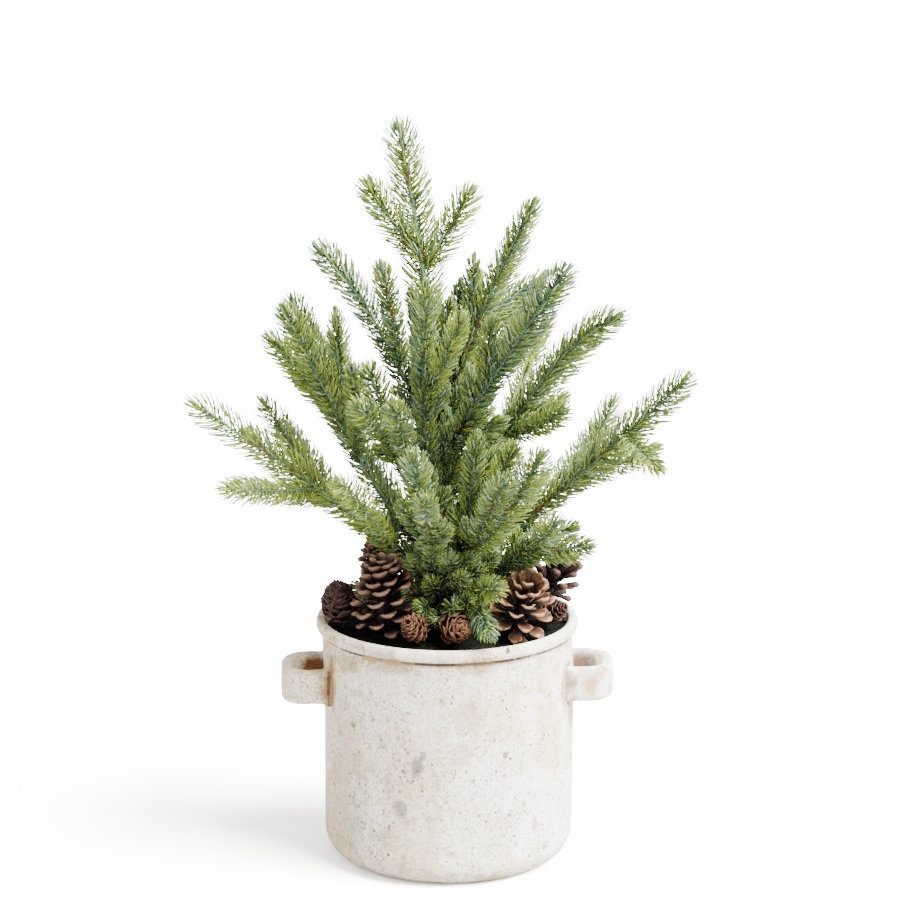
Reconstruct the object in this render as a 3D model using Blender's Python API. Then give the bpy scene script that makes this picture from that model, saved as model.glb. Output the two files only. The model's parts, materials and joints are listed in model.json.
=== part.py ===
"""Artificial potted pine tree: stoneware crock, moss, cones, trunk, boughs and foliage masses.

Lengths are in metres, +Z is up, the pot stands on z = 0 and the front of the tree faces -Y.
"""
import math

import bmesh
import bpy
import numpy as np

MM = 0.001
GAP = 0.3 * MM                     # clearance left between neighbouring parts

# Pot
POT_HEIGHT = 171.6 * MM
POT_WALL_RADIUS = 87.6 * MM
POT_RIM_RADIUS = 91.5 * MM
POT_MOUTH_RADIUS = 84.5 * MM
POT_BORE_RADIUS = 80.0 * MM
POT_CORNER = 18.0 * MM             # rounding where wall meets base
POT_FLOOR = 12.0 * MM
POT_SIDES = 32
RIM_BAND = 11.0 * MM               # height of the rolled lip
RIM_CREASE = 14.9 * MM             # depth below the top where the lip meets the wall
MOUTH_EASE = 1.2 * MM              # rounding of the inner edge of the lip
MOUTH_DEPTH = 7.0 * MM             # straight part of the mouth
BORE_TOP = 16.0 * MM               # depth at which the narrower bore starts
FLOOR_CORNER = 6.0 * MM

# Handles: upright straps bent into a D that lies level
HANDLE_REACH = 29.0 * MM
HANDLE_WIDTH = 54.0 * MM
HANDLE_STRAP = 10.5 * MM
HANDLE_DEPTH = 24.0 * MM
HANDLE_MID_HEIGHT = 127.0 * MM
HANDLE_ROUNDING = 3.0 * MM
HANDLE_BEND = 15.0 * MM            # radius of the two turns of the strap
HANDLE_BEND_STEPS = 4
HANDLES = {"handle_left": 184.0, "handle_right": 357.0}

# Moss
MOSS_CROWN_HEIGHT = 172.5 * MM
MOSS_EDGE_HEIGHT = 158.0 * MM
MOSS_FLAT_RADIUS = 11.0 * MM
MOSS_RINGS = (66.0 * MM, 48.0 * MM, 29.0 * MM, MOSS_FLAT_RADIUS, 0)
MOSS_SWELL = 0.9 * MM              # height of the uneven lumps
MOSS_SIDES = 24

# Trunk: lean of the centre line against height, both in millimetres
TRUNK_HEIGHTS = (172.8, 207, 241, 290, 339, 381, 407, 438, 471, 510)
TRUNK_LEAN = (-1, 0, -4, -8, -10, -13, -15.5, -19.5, -25, -32)
TRUNK_FOOT_RADIUS = 8.0 * MM
TRUNK_RADIUS = 4.6 * MM
TRUNK_TIP_RADIUS = 0.9 * MM
TRUNK_FLARE = 9.0 * MM             # height over which the root flare dies away
TRUNK_SIDES = 10
FLARE_STEPS = (4, 10, 19)          # extra rings above the foot, in millimetres
FLARE_LOBES = 5
FLARE_LOBE_DEPTH = 0.16
FLARE_LOBE_FADE = 8.0              # height over which the lobes die away, in millimetres

# Boughs and foliage
BOUGH_ROOT_RADIUS = 2.1 * MM
BOUGH_END_RADIUS = 1.3 * MM
BOUGH_SIDES = 5
BOUGH_RINGS = 4
BRUSH_RADIUS = 11.5 * MM           # needles standing out round a sprig
BRUSH_SIDES = 5
BRUSH_STEP = 16.0 * MM
BRUSH_OVERHANG = 7.0 * MM          # needles reaching past the tip of the sprig
BRUSH_MIN = 3.2 * MM               # a crowded brush starts where it gets at least this wide
BRUSH_FIRST = 0.55                 # share of the full radius at the start of a brush
BRUSH_LAST = 0.72                  # and at its tip
BRUSH_UNEVEN = 0.86                # least share of its ring's radius that a corner keeps
SPRIG_CURL = 0.12                  # share of a side sprig that bends along its parent

# Each bough leaves the trunk at height "root" and ends at "tip" (x, y, z); "bow" drops the middle
# and "swing" moves it sideways; needles cover it from "bare" to the tip; side sprigs are given as
# the share of the bough where they start and their own tip. All in millimetres.
BOUGHS = {
    "right_top": dict(root=300, tip=(57, -20, 462), bow=-25, swing=4, bare=0.22,
                      sprigs=((0.37, (18, 0, 422)), (0.42, (64, 25, 408)))),
    "right_front": dict(root=276, tip=(77, -100, 435), bow=3, swing=-17, bare=0.22,
                        sprigs=((0.48, (27, -72, 389)), (0.56, (68, -55, 385)))),
    "right_upper": dict(root=207, tip=(117, -35, 391), bow=-64, swing=-4, bare=0.30,
                        sprigs=((0.36, (80, -75, 341)),)),
    "front_upper": dict(root=250, tip=(-12, -72, 410), bow=22, swing=-5, bare=0.20,
                        sprigs=((0.57, (7, -84, 393)),)),
    "left_top": dict(root=288, tip=(-90, -12, 434), bow=-52, swing=30, bare=0.18,
                     sprigs=((0.34, (-43, -55, 428)),)),
    "left_upper": dict(root=202, tip=(-107, 12, 395), bow=32, swing=5, bare=0.22,
                       sprigs=((0.68, (-114, -48, 389)), (0.72, (-124, -12, 369)),
                               (0.70, (-76, 25, 381)), (0.58, (-68, -62, 363)))),
    "left_front": dict(root=237, tip=(-53, -78, 365), bow=14, swing=-8, bare=0.22,
                       sprigs=((0.57, (-59, -92, 337)), (0.42, (-30, -98, 343)))),
    "left_low": dict(root=190, tip=(-173, -30, 329), bow=-8, swing=8, bare=0.15,
                     sprigs=((0.54, (-127, 10, 323)), (0.53, (-149, -85, 283)),
                             (0.22, (-70, -105, 293)))),
    "front_middle": dict(root=216, tip=(-24, -100, 308), bow=46, swing=-10, bare=0.24,
                         sprigs=((0.60, (-46, -96, 297)), (0.50, (-36, -122, 292)))),
    "front_low": dict(root=184, tip=(-5, -96, 260), bow=26, swing=-18, bare=0.28, sprigs=()),
    "right_low": dict(root=197, tip=(161, -40, 348), bow=9, swing=-6, bare=0.20,
                      sprigs=((0.61, (112, 5, 324)), (0.69, (141, -82, 295)))),
    "right_middle": dict(root=226, tip=(63, -115, 312), bow=46, swing=-20, bare=0.22,
                         sprigs=((0.42, (32, -112, 292)),)),
    "right_foot": dict(root=190, tip=(76, -74, 259), bow=4, swing=16, bare=0.22,
                       sprigs=((0.68, (98, -66, 238)),)),
    "front_foot": dict(root=180, tip=(42, -84, 208), bow=-5, swing=-3, bare=0.26,
                       sprigs=((0.52, (27, -90, 188)),)),
    "back_top": dict(root=318, tip=(51, 60, 426), bow=15, swing=0, bare=0.22,
                     sprigs=((0.45, (22, 70, 398)), (0.50, (61, 40, 395)))),
    "back_right": dict(root=262, tip=(101, 85, 352), bow=20, swing=10, bare=0.22,
                       sprigs=((0.45, (67, 98, 351)), (0.50, (80, 50, 315)))),
    "back_right_low": dict(root=206, tip=(139, 95, 286), bow=5, swing=0, bare=0.22,
                           sprigs=((0.55, (114, 115, 281)), (0.60, (145, 50, 278)))),
    "back_middle": dict(root=240, tip=(0, 110, 349), bow=25, swing=0, bare=0.20,
                        sprigs=((0.45, (-23, 85, 347)), (0.50, (24, 100, 336)))),
    "back_low": dict(root=196, tip=(39, 135, 258), bow=15, swing=0, bare=0.20,
                     sprigs=((0.40, (28, 120, 302)), (0.50, (68, 105, 242)))),
    "back_left": dict(root=220, tip=(-103, 85, 361), bow=42, swing=0, bare=0.20,
                      sprigs=((0.60, (-82, 98, 347)), (0.58, (-113, 45, 350)))),
    "back_left_low": dict(root=192, tip=(-141, 90, 278), bow=0, swing=0, bare=0.20,
                          sprigs=((0.55, (-120, 116, 280)), (0.58, (-146, 40, 255)))),
}
# Foliage round the top of the trunk: start height, then side sprigs as (height, tip)
LEADER_START = 372
LEADER_SPRIGS = ((424, (-54, -10, 474)), (417, (16, 5, 469)))

# Cones: centre, axis direction, length and greatest radius in millimetres
CONES = {
    "cone_round": ((-75, -22, 187), (0.0, -0.82, 0.55), 30, 13.5),
    "cone_tall": ((-46, -41, 197), (0.05, -0.05, 1.0), 60, 19.0),
    "cone_behind": ((-52, 14, 192), (-0.1, 0.1, 1.0), 46, 14.5),
    "cone_small_left": ((-22, -65, 181), (-0.3, -0.75, 0.5), 28, 12.0),
    "cone_small_right": ((7, -65, 181), (0.6, -0.76, 0.2), 28, 12.0),
    "cone_open": ((52, -45, 191), (0.1, -0.2, 1.0), 46, 18.5),
    "cone_edge": ((80, 8, 194), (0.75, 0.1, 0.65), 38, 13.5),
    "cone_shadow": ((73, -22, 180), (0.5, -0.5, 0.3), 26, 10.0),
    "cone_back_left": ((-46, 52, 191), (-0.2, 0.3, 1.0), 44, 16.0),
    "cone_back": ((2, 66, 184), (0.2, 0.8, 0.6), 36, 13.5),
    "cone_back_right": ((50, 50, 190), (0.3, 0.3, 1.0), 42, 16.0),
}
CONE_SIDES = 7
# Rings of a cone from base to near the apex: share of its length, share of its greatest radius
CONE_TIERS = ((0.0, 0.5), (0.16, 1.0), (0.34, 0.78), (0.42, 1.0), (0.62, 0.62), (0.70, 0.76))

COLOURS = {
    "stone": (0.80, 0.78, 0.73),
    "moss": (0.03, 0.05, 0.02),
    "bark": (0.10, 0.07, 0.05),
    "needle": (0.16, 0.28, 0.08),
    "cone": (0.30, 0.17, 0.09),
}
ROUGHNESS = {"stone": 0.85, "moss": 0.95, "bark": 0.9, "needle": 0.7, "cone": 0.75}


def vec(*values):
    return np.array(values, dtype=float)


def unit(v):
    return v / np.linalg.norm(v)


def make_material(node, kind):
    mat = bpy.data.materials.new(node + "_" + kind)
    mat.use_nodes = True
    shader = mat.node_tree.nodes["Principled BSDF"]
    shader.inputs["Base Color"].default_value = (*COLOURS[kind], 1.0)
    shader.inputs["Roughness"].default_value = ROUGHNESS[kind]
    return mat


def add_object(node, bm, kind):
    """Turn a finished bmesh into a named object of outward-facing triangles."""
    bmesh.ops.remove_doubles(bm, verts=bm.verts, dist=0.01 * MM)
    bmesh.ops.triangulate(bm, faces=bm.faces)
    bmesh.ops.recalc_face_normals(bm, faces=bm.faces)
    mesh = bpy.data.meshes.new(node)
    bm.to_mesh(mesh)
    bm.free()
    obj = bpy.data.objects.new(node, mesh)
    bpy.context.scene.collection.objects.link(obj)
    mesh.materials.append(make_material(node, kind))
    return obj


def skin(bm, rows):
    """Join a run of equal rows of vertices, round and round, with faces."""
    count = len(rows[0])
    for low, high in zip(rows, rows[1:]):
        for i in range(count):
            j = (i + 1) % count
            corners = []
            for v in (low[i], low[j], high[j], high[i]):
                if v not in corners:
                    corners.append(v)
            bm.faces.new(corners)


def loft(rings, end_point=None):
    """Skin a run of rings from a flat start to an end point, or to a flat end."""
    bm = bmesh.new()
    rows = [[bm.verts.new(p) for p in ring] for ring in rings]
    bm.faces.new(rows[0])
    if end_point is None:
        bm.faces.new(rows[-1])
    else:
        rows.append([bm.verts.new(end_point)] * len(rings[0]))
    skin(bm, rows)
    return bm


def turned_row(bm, radius, heights):
    """One row round the axis, with a height for each side; zero radius closes on the axis."""
    sides = len(heights)
    if radius == 0:
        return [bm.verts.new((0, 0, heights[0]))] * sides
    angles = [math.tau * i / sides for i in range(sides)]
    return [bm.verts.new((radius * math.cos(a), radius * math.sin(a), z)) for a, z in zip(angles, heights)]


def lathe(profile, sides):
    """Turn a closed profile of (radius, height) pairs about the Z axis."""
    bm = bmesh.new()
    skin(bm, [turned_row(bm, radius, [height] * sides) for radius, height in profile])
    return bm


def boolean(obj, cutter, operation):
    """Join or cut one object with another and drop the second."""
    mod = obj.modifiers.new(operation, "BOOLEAN")
    mod.operation = operation
    mod.solver = "EXACT"
    mod.object = cutter
    graph = bpy.context.evaluated_depsgraph_get()
    mesh = bpy.data.meshes.new_from_object(obj.evaluated_get(graph))
    obj.modifiers.remove(mod)
    obj.data = mesh
    bpy.data.objects.remove(cutter)


# ---------------------------------------------------------------- pot, handles and moss

def build_pot():
    corner = POT_WALL_RADIUS - POT_CORNER
    profile = [(0, 0)]
    for degrees in range(0, 91, 30):
        a = math.radians(degrees)
        profile.append((corner + POT_CORNER * math.sin(a), POT_CORNER * (1 - math.cos(a))))
    profile.append((POT_WALL_RADIUS, POT_HEIGHT - RIM_CREASE))
    lip = 0.5 * RIM_BAND
    bulge = POT_RIM_RADIUS - POT_WALL_RADIUS
    for degrees in range(-70, 71, 35):
        a = math.radians(degrees)
        profile.append((POT_WALL_RADIUS + bulge * math.cos(a), POT_HEIGHT - lip + lip * math.sin(a)))
    profile.append((POT_MOUTH_RADIUS + MOUTH_EASE, POT_HEIGHT))
    profile.append((POT_MOUTH_RADIUS, POT_HEIGHT - MOUTH_EASE))
    profile.append((POT_MOUTH_RADIUS, POT_HEIGHT - MOUTH_DEPTH))
    profile.append((POT_BORE_RADIUS, POT_HEIGHT - BORE_TOP))
    profile.append((POT_BORE_RADIUS, POT_FLOOR + FLOOR_CORNER))
    profile.append((POT_BORE_RADIUS - FLOOR_CORNER, POT_FLOOR))
    profile.append((0, POT_FLOOR))
    return add_object("pot", lathe(profile, POT_SIDES), "stone")


def handle_path():
    """Centre line of the strap, seen from above, starting inside the wall line."""
    half = 0.5 * (HANDLE_WIDTH - HANDLE_STRAP)
    outer = POT_WALL_RADIUS + HANDLE_REACH - 0.5 * HANDLE_STRAP
    foot = math.sqrt(POT_WALL_RADIUS ** 2 - half ** 2)
    points = [(foot, -half)]
    for i in range(HANDLE_BEND_STEPS + 1):
        a = math.radians(-90 + 90 * i / HANDLE_BEND_STEPS)
        x = outer - HANDLE_BEND + HANDLE_BEND * math.cos(a)
        y = -half + HANDLE_BEND + HANDLE_BEND * math.sin(a)
        points.append((x, y))
    points += [(x, -y) for x, y in reversed(points)]
    return [vec(x, y, 0) for x, y in points]


def strap_section():
    """Rounded upright rectangle as (across, up) pairs."""
    w = 0.5 * HANDLE_STRAP - HANDLE_ROUNDING
    h = 0.5 * HANDLE_DEPTH - HANDLE_ROUNDING
    pairs = []
    for sx, sy, start in ((1, 1, 0), (-1, 1, 90), (-1, -1, 180), (1, -1, 270)):
        for k in range(3):
            a = math.radians(start + 45 * k)
            pairs.append((sx * w + HANDLE_ROUNDING * math.cos(a), sy * h + HANDLE_ROUNDING * math.sin(a)))
    return pairs


def build_handle(node, azimuth):
    """Sweep the strap's section along its path; both ends follow the round wall."""
    path = handle_path()
    up = vec(0, 0, 1)
    turn = math.radians(azimuth)
    cos, sin = math.cos(turn), math.sin(turn)
    spin = np.array(((cos, -sin, 0), (sin, cos, 0), (0, 0, 1)))
    wall = POT_WALL_RADIUS + GAP
    rings = []
    last = len(path) - 1
    for i, point in enumerate(path):
        heading = path[min(i + 1, last)] - path[max(i - 1, 0)]
        if i in (0, last):
            heading = vec(1 if i == 0 else -1, 0, 0)
        across = unit(np.cross(up, heading))
        ring = []
        for u, v in strap_section():
            p = point + across * u + up * (v + HANDLE_MID_HEIGHT)
            if i in (0, last):
                p[0] = math.sqrt(wall ** 2 - p[1] ** 2)
            ring.append(spin @ p)
        rings.append(ring)
    return add_object(node, loft(rings), "stone")


def moss_height(radius, angle):
    """Mounded surface that is flat round the trunk and uneven further out."""
    edge = POT_MOUTH_RADIUS - 2.0 * MM
    s = min(max((radius - MOSS_FLAT_RADIUS) / (edge - MOSS_FLAT_RADIUS), 0), 1)
    base = MOSS_CROWN_HEIGHT + (MOSS_EDGE_HEIGHT - MOSS_CROWN_HEIGHT) * s
    wave = math.sin(3 * angle + 0.7) + 0.6 * math.sin(7 * angle + 2.1)
    return base + MOSS_SWELL * wave * s * (1 - 0.5 * s)


def build_moss():
    """Filling of the pot: a plug in the bore with a mounded, lumpy top."""
    inner = POT_BORE_RADIUS * math.cos(math.pi / POT_SIDES) - GAP
    bottom = POT_FLOOR + GAP
    plug = ((0, bottom), (inner - FLOOR_CORNER - GAP, bottom), (inner, bottom + FLOOR_CORNER + GAP),
            (inner, POT_HEIGHT - BORE_TOP - GAP))
    angles = [math.tau * i / MOSS_SIDES for i in range(MOSS_SIDES)]
    bm = bmesh.new()
    rows = [turned_row(bm, radius, [height] * MOSS_SIDES) for radius, height in plug]
    for radius in (inner, *MOSS_RINGS):
        rows.append(turned_row(bm, radius, [moss_height(radius, a) for a in angles]))
    skin(bm, rows)
    return add_object("moss_bed", bm, "moss")


# ---------------------------------------------------------------- centre lines

def trunk_point(height):
    return vec(np.interp(height, TRUNK_HEIGHTS, TRUNK_LEAN) * MM, 0, height * MM)


def trunk_radius(height):
    foot = TRUNK_HEIGHTS[0]
    share = (height - foot) / (TRUNK_HEIGHTS[-1] - foot)
    flare = (TRUNK_FOOT_RADIUS - TRUNK_RADIUS) * math.exp(-(height - foot) * MM / TRUNK_FLARE)
    return TRUNK_RADIUS + (TRUNK_TIP_RADIUS - TRUNK_RADIUS) * share + flare


def bough_curve(spec):
    """Curve from trunk to tip whose middle is dropped by bow and moved sideways by swing."""
    start = trunk_point(spec["root"])
    end = vec(*spec["tip"]) * MM
    chord = end - start
    side = unit(vec(-chord[1], chord[0], 0))
    middle = start + 0.5 * chord + side * spec["swing"] * MM - vec(0, 0, spec["bow"] * MM)
    return lambda t: (1 - t) ** 2 * start + 2 * t * (1 - t) * middle + t * t * end


def ahead(curve, t):
    """Heading of a curve at share t."""
    return unit(curve(t + 0.002) - curve(t - 0.002))


def sprig_curve(start, tip, parent_heading):
    """Side sprig that sets off a little wide and bends along its parent towards its tip."""
    reach = tip - start
    curl = parent_heading * np.linalg.norm(reach) * SPRIG_CURL
    return lambda t: start + reach * t - curl * t * (1 - t)


def sample(curve, start, end):
    """Points and headings spaced about one brush step apart."""
    fine = [curve(t) for t in np.linspace(start, end, 61)]
    length = sum(np.linalg.norm(b - a) for a, b in zip(fine, fine[1:]))
    shares = np.linspace(start, end, max(3, round(length / BRUSH_STEP)) + 1)
    return [curve(t) for t in shares], [ahead(curve, t) for t in shares]


def side_vectors(heads):
    """Carry a pair of cross vectors along a curve without twist."""
    first = vec(0, 0, 1) if abs(heads[0][2]) < 0.9 else vec(0, 1, 0)
    a = unit(np.cross(heads[0], first))
    pairs = []
    for head in heads:
        a = unit(a - head * np.dot(a, head))
        pairs.append((a, np.cross(head, a)))
    return pairs


def bough_curves(spec):
    """The covered part of a bough and its side sprigs, as sampled centre lines."""
    main = bough_curve(spec)
    curves = [sample(main, spec["bare"], 1.0)]
    for share, tip in spec["sprigs"]:
        side = sprig_curve(main(share), vec(*tip) * MM, ahead(main, share))
        curves.append(sample(side, 0.0, 1.0))
    return curves


def leader_curves():
    """The covered top of the trunk and its two side sprigs, as sampled centre lines."""
    top = TRUNK_HEIGHTS[-1]
    curves = [sample(lambda t: trunk_point(LEADER_START + (top - LEADER_START) * t), 0.0, 1.0)]
    for height, tip in LEADER_SPRIGS:
        heading = unit(trunk_point(height + 5) - trunk_point(height - 5))
        side = sprig_curve(trunk_point(height), vec(*tip) * MM, heading)
        curves.append(sample(side, 0.0, 1.0))
    return curves


# ---------------------------------------------------------------- room for each mass

def thicken(points, step=2.0 * MM):
    """Fill a run of points in to an even spacing."""
    out = []
    for a, b in zip(points, points[1:]):
        n = max(1, math.ceil(np.linalg.norm(b - a) / step))
        out += [a + (b - a) * i / n for i in range(n)]
    return np.array(out + [points[-1]])


def overhang_point(points, heads):
    return points[-1] + heads[-1] * BRUSH_OVERHANG


def all_masses():
    masses = {"leader": leader_curves()}
    for name, spec in BOUGHS.items():
        masses[name] = bough_curves(spec)
    return masses


def limb_obstacles():
    """Trunk, bare boughs and cones as points with their own radius, keyed by owner."""
    found = {}
    heights = np.arange(TRUNK_HEIGHTS[0], TRUNK_HEIGHTS[-1], 2.0)
    line = np.array([trunk_point(h) for h in heights])
    found["trunk"] = (line, np.array([trunk_radius(h) for h in heights]))
    for name, spec in BOUGHS.items():
        bare = np.array([bough_curve(spec)(t) for t in np.linspace(0, spec["bare"], 12)])
        found["bough_" + name] = (bare, np.full(len(bare), BOUGH_ROOT_RADIUS))
    for name, (centre, axis, length, radius) in CONES.items():
        reach = unit(vec(*axis)) * (0.5 * length - 0.6 * radius) * MM
        line = np.array([vec(*centre) * MM + reach * k for k in np.linspace(-1, 1, 9)])
        found[name] = (line, np.full(len(line), radius * MM))
    return found


def room_table(masses, limbs):
    """For every mass, the centre lines of the other masses, and the limbs that it keeps clear of."""
    axes = {}
    for name, curves in masses.items():
        axes[name] = np.concatenate([thicken(p + [overhang_point(p, h)]) for p, h in curves])
    table = {}
    for name in masses:
        others = np.concatenate([axes[k] for k in axes if k != name])
        own = "trunk" if name == "leader" else "bough_" + name
        kept = [limbs[k] for k in limbs if k != own]
        points = np.concatenate([p for p, r in kept])
        radii = np.concatenate([r for p, r in kept])
        table[name] = (others, points, radii)
    return table


def room_at(point, table):
    """Radius that fits at a point: half way to another mass, or up to a limb."""
    others, limb_points, limb_radii = table
    half = 0.5 * np.linalg.norm(others - point, axis=1).min()
    limb = (np.linalg.norm(limb_points - point, axis=1) - limb_radii).min()
    return min(half, limb) - 1.5 * GAP


def brush_rings(points, heads, table, seed):
    """Uneven rings along one sprig, narrowed wherever a neighbour is close."""
    rng = np.random.default_rng(seed)
    rings = []
    last = len(points) - 1
    for i, (point, (a, b)) in enumerate(zip(points, side_vectors(heads))):
        share = {0: BRUSH_FIRST, last: BRUSH_LAST}.get(i, 1.0)
        near = thicken([points[max(i - 1, 0)], point, points[min(i + 1, last)]])
        radius = min(BRUSH_RADIUS * share, *(room_at(p, table) for p in near))
        ring = []
        for k in range(BRUSH_SIDES):
            angle = math.tau * (k + 0.5 * (i % 2)) / BRUSH_SIDES
            r = radius * rng.uniform(BRUSH_UNEVEN, 1.0)
            ring.append(point + (a * math.cos(angle) + b * math.sin(angle)) * r)
        rings.append((radius, ring))
    return rings


def crowded_start(rings):
    """Number of rings to leave off where the start of a bough has no room for needles."""
    first = 0
    for i, (radius, ring) in enumerate(rings[:-2]):
        if radius < BRUSH_MIN:
            first = i + 1
    return first


def build_mass(name, curves, table, seed):
    """Foliage of one bough: its brushes joined into one closed body."""
    body = None
    start = 0
    for k, (points, heads) in enumerate(curves):
        rings = brush_rings(points, heads, table, seed + 17 * k)
        if k == 0:
            start = crowded_start(rings)
            rings = rings[start:]
        tip = overhang_point(points, heads)
        if room_at(tip, table) < 0:
            tip = 0.5 * (tip + points[-1])
        brush = add_object("mass_" + name, loft([ring for radius, ring in rings], tip), "needle")
        if body is None:
            body = brush
        else:
            boolean(body, brush, "UNION")
    return body, start


def build_bough(name, spec, end):
    """Bare limb from the trunk to just short of its mass."""
    curve = bough_curve(spec)
    shares = np.linspace(0.0, end, BOUGH_RINGS)
    points = [curve(t) for t in shares]
    heads = [ahead(curve, t) for t in shares]
    points[-1] = points[-1] - heads[-1] * GAP
    radii = np.linspace(BOUGH_ROOT_RADIUS, BOUGH_END_RADIUS, BOUGH_RINGS)
    angles = [math.tau * k / BOUGH_SIDES for k in range(BOUGH_SIDES)]
    rings = []
    for point, radius, (a, b) in zip(points, radii, side_vectors(heads)):
        rings.append([point + (a * math.cos(x) + b * math.sin(x)) * radius for x in angles])
    limb = add_object("bough_" + name, loft(rings), "bark")
    boolean(limb, build_trunk("cutter", GAP), "DIFFERENCE")
    return limb


def build_trunk(node, extra):
    """Tapered leaning stem with a lobed flare at the foot, grown by extra for cutting."""
    foot = TRUNK_HEIGHTS[0]
    heights = [foot, *(foot + step for step in FLARE_STEPS), *TRUNK_HEIGHTS[1:]]
    rings = []
    for height in heights:
        centre = trunk_point(height)
        radius = trunk_radius(height) + extra
        lobes = FLARE_LOBE_DEPTH * math.exp(-(height - foot) / FLARE_LOBE_FADE)
        ring = []
        for k in range(TRUNK_SIDES):
            a = math.tau * k / TRUNK_SIDES
            r = radius * (1 + lobes * math.cos(FLARE_LOBES * a))
            ring.append(centre + vec(r * math.cos(a), r * math.sin(a), 0))
        rings.append(ring)
    rings[-1] = [p + vec(0, 0, extra) for p in rings[-1]]
    rings[0] = [p - vec(0, 0, extra) for p in rings[0]]
    return add_object(node, loft(rings), "bark")


def build_cone(node, centre, axis, length, radius):
    """Stepped ovoid with flared tiers of scales and a pointed apex."""
    head = unit(vec(*axis))
    a, b = side_vectors([head])[0]
    base = (vec(*centre) - head * 0.5 * length) * MM
    rings = []
    for i, (share, wide) in enumerate(CONE_TIERS):
        middle = base + head * share * length * MM
        turn = 0.5 * (i % 4 > 1)
        ring = []
        for k in range(CONE_SIDES):
            angle = math.tau * (k + turn) / CONE_SIDES
            ring.append(middle + (a * math.cos(angle) + b * math.sin(angle)) * wide * radius * MM)
        rings.append(ring)
    return add_object(node, loft(rings, base + head * length * MM), "cone")


def main():
    for old in list(bpy.data.objects):
        bpy.data.objects.remove(old)
    build_pot()
    for node, azimuth in HANDLES.items():
        build_handle(node, azimuth)
    build_moss()
    build_trunk("trunk", 0.0)
    masses = all_masses()
    tables = room_table(masses, limb_obstacles())
    for index, (name, curves) in enumerate(masses.items()):
        body, start = build_mass(name, curves, tables[name], 100 * index)
        if name == "leader":
            boolean(body, build_trunk("cutter", GAP), "DIFFERENCE")
            continue
        spec = BOUGHS[name]
        count = len(curves[0][0]) - 1
        build_bough(name, spec, spec["bare"] + (1 - spec["bare"]) * start / count)
    for node, values in CONES.items():
        build_cone(node, *values)


main()
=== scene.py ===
"""Finished looks of an artificial potted pine tree, built round its fixed frame.

Everything is in metres in the frame's own axes: +Z is up and the front faces -Y.
"""

import json
import math
from collections import namedtuple
from functools import wraps
from math import cos, exp, hypot, pi, radians, sin, sqrt

import bmesh
import bpy
import numpy as np
from bpy.props import FloatProperty, FloatVectorProperty, IntProperty, PointerProperty
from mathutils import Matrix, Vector, noise

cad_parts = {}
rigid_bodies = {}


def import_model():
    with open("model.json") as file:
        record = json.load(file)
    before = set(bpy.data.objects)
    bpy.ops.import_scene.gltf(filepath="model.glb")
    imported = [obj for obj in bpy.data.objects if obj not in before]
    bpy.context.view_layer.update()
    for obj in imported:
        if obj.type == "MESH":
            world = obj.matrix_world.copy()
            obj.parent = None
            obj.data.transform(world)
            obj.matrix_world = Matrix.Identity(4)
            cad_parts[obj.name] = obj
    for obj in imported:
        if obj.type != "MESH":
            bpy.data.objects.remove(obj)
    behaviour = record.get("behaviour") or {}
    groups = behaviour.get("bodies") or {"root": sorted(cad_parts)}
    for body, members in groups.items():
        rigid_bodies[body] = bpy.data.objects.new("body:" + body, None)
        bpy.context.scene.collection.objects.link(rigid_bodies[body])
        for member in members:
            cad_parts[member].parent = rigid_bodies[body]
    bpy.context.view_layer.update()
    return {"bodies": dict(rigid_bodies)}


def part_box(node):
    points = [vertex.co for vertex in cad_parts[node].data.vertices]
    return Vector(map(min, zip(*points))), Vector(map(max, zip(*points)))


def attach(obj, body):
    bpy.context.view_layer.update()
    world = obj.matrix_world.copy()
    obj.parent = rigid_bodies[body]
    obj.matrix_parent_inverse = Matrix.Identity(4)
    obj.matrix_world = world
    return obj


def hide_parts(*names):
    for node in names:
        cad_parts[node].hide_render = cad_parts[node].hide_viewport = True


bl_info = {
    "name": "Potted Pine Tree",
    "version": (1, 0, 0),
    "blender": (4, 5, 0),
    "location": "View3D > Sidebar > Pine Tree",
    "description": "Makes the crock, moss, cones, bark and needles of an artificial potted pine tree",
    "category": "Object",
}

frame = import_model()

MM = 0.001
BODY = "root" if "root" in frame["bodies"] else sorted(frame["bodies"])[0]
UP = np.array((0.0, 0.0, 1.0))
GOLDEN_ANGLE = radians(137.508)

POT_LOW, POT_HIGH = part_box("pot")
POT_HEIGHT = POT_HIGH.z
CREASE_DEPTH = 8.8 * MM
# How far below the crease the rust band and the painted shade line are centred
CREASE_STAIN_AND_SHADE = 1.0 * MM
LIP_HALF = 4.5 * MM
RIM_RADIUS = 0.5 * (POT_HIGH.x - POT_LOW.x)


def screen_colour(red, green, blue):
    """Linear colour from the 0 to 255 values of a colour picker."""
    channels = []
    for value in (red, green, blue):
        c = value / 255
        channels.append(c / 12.92 if c <= 0.04045 else ((c + 0.055) / 1.055) ** 2.4)
    return tuple(channels)


def length(name, description, default):
    return FloatProperty(name=name, description=description, default=default, min=0.0, unit="LENGTH")


def share_of(name, description, default):
    return FloatProperty(name=name, description=description, default=default, subtype="FACTOR", min=0.0, max=1.0)


def plain_number(name, description, default):
    return FloatProperty(name=name, description=description, default=default)


def angle(name, description, default_degrees):
    return FloatProperty(name=name, description=description, default=radians(default_degrees), unit="ROTATION")


def count_of(name, description, default):
    return IntProperty(name=name, description=description, default=default, min=1)


def colour_of(name, description, picked):
    return FloatVectorProperty(name=name, description=description, default=screen_colour(*picked),
                               subtype="COLOR", min=0.0, max=1.0)


# ---- settings a user would change

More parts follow.
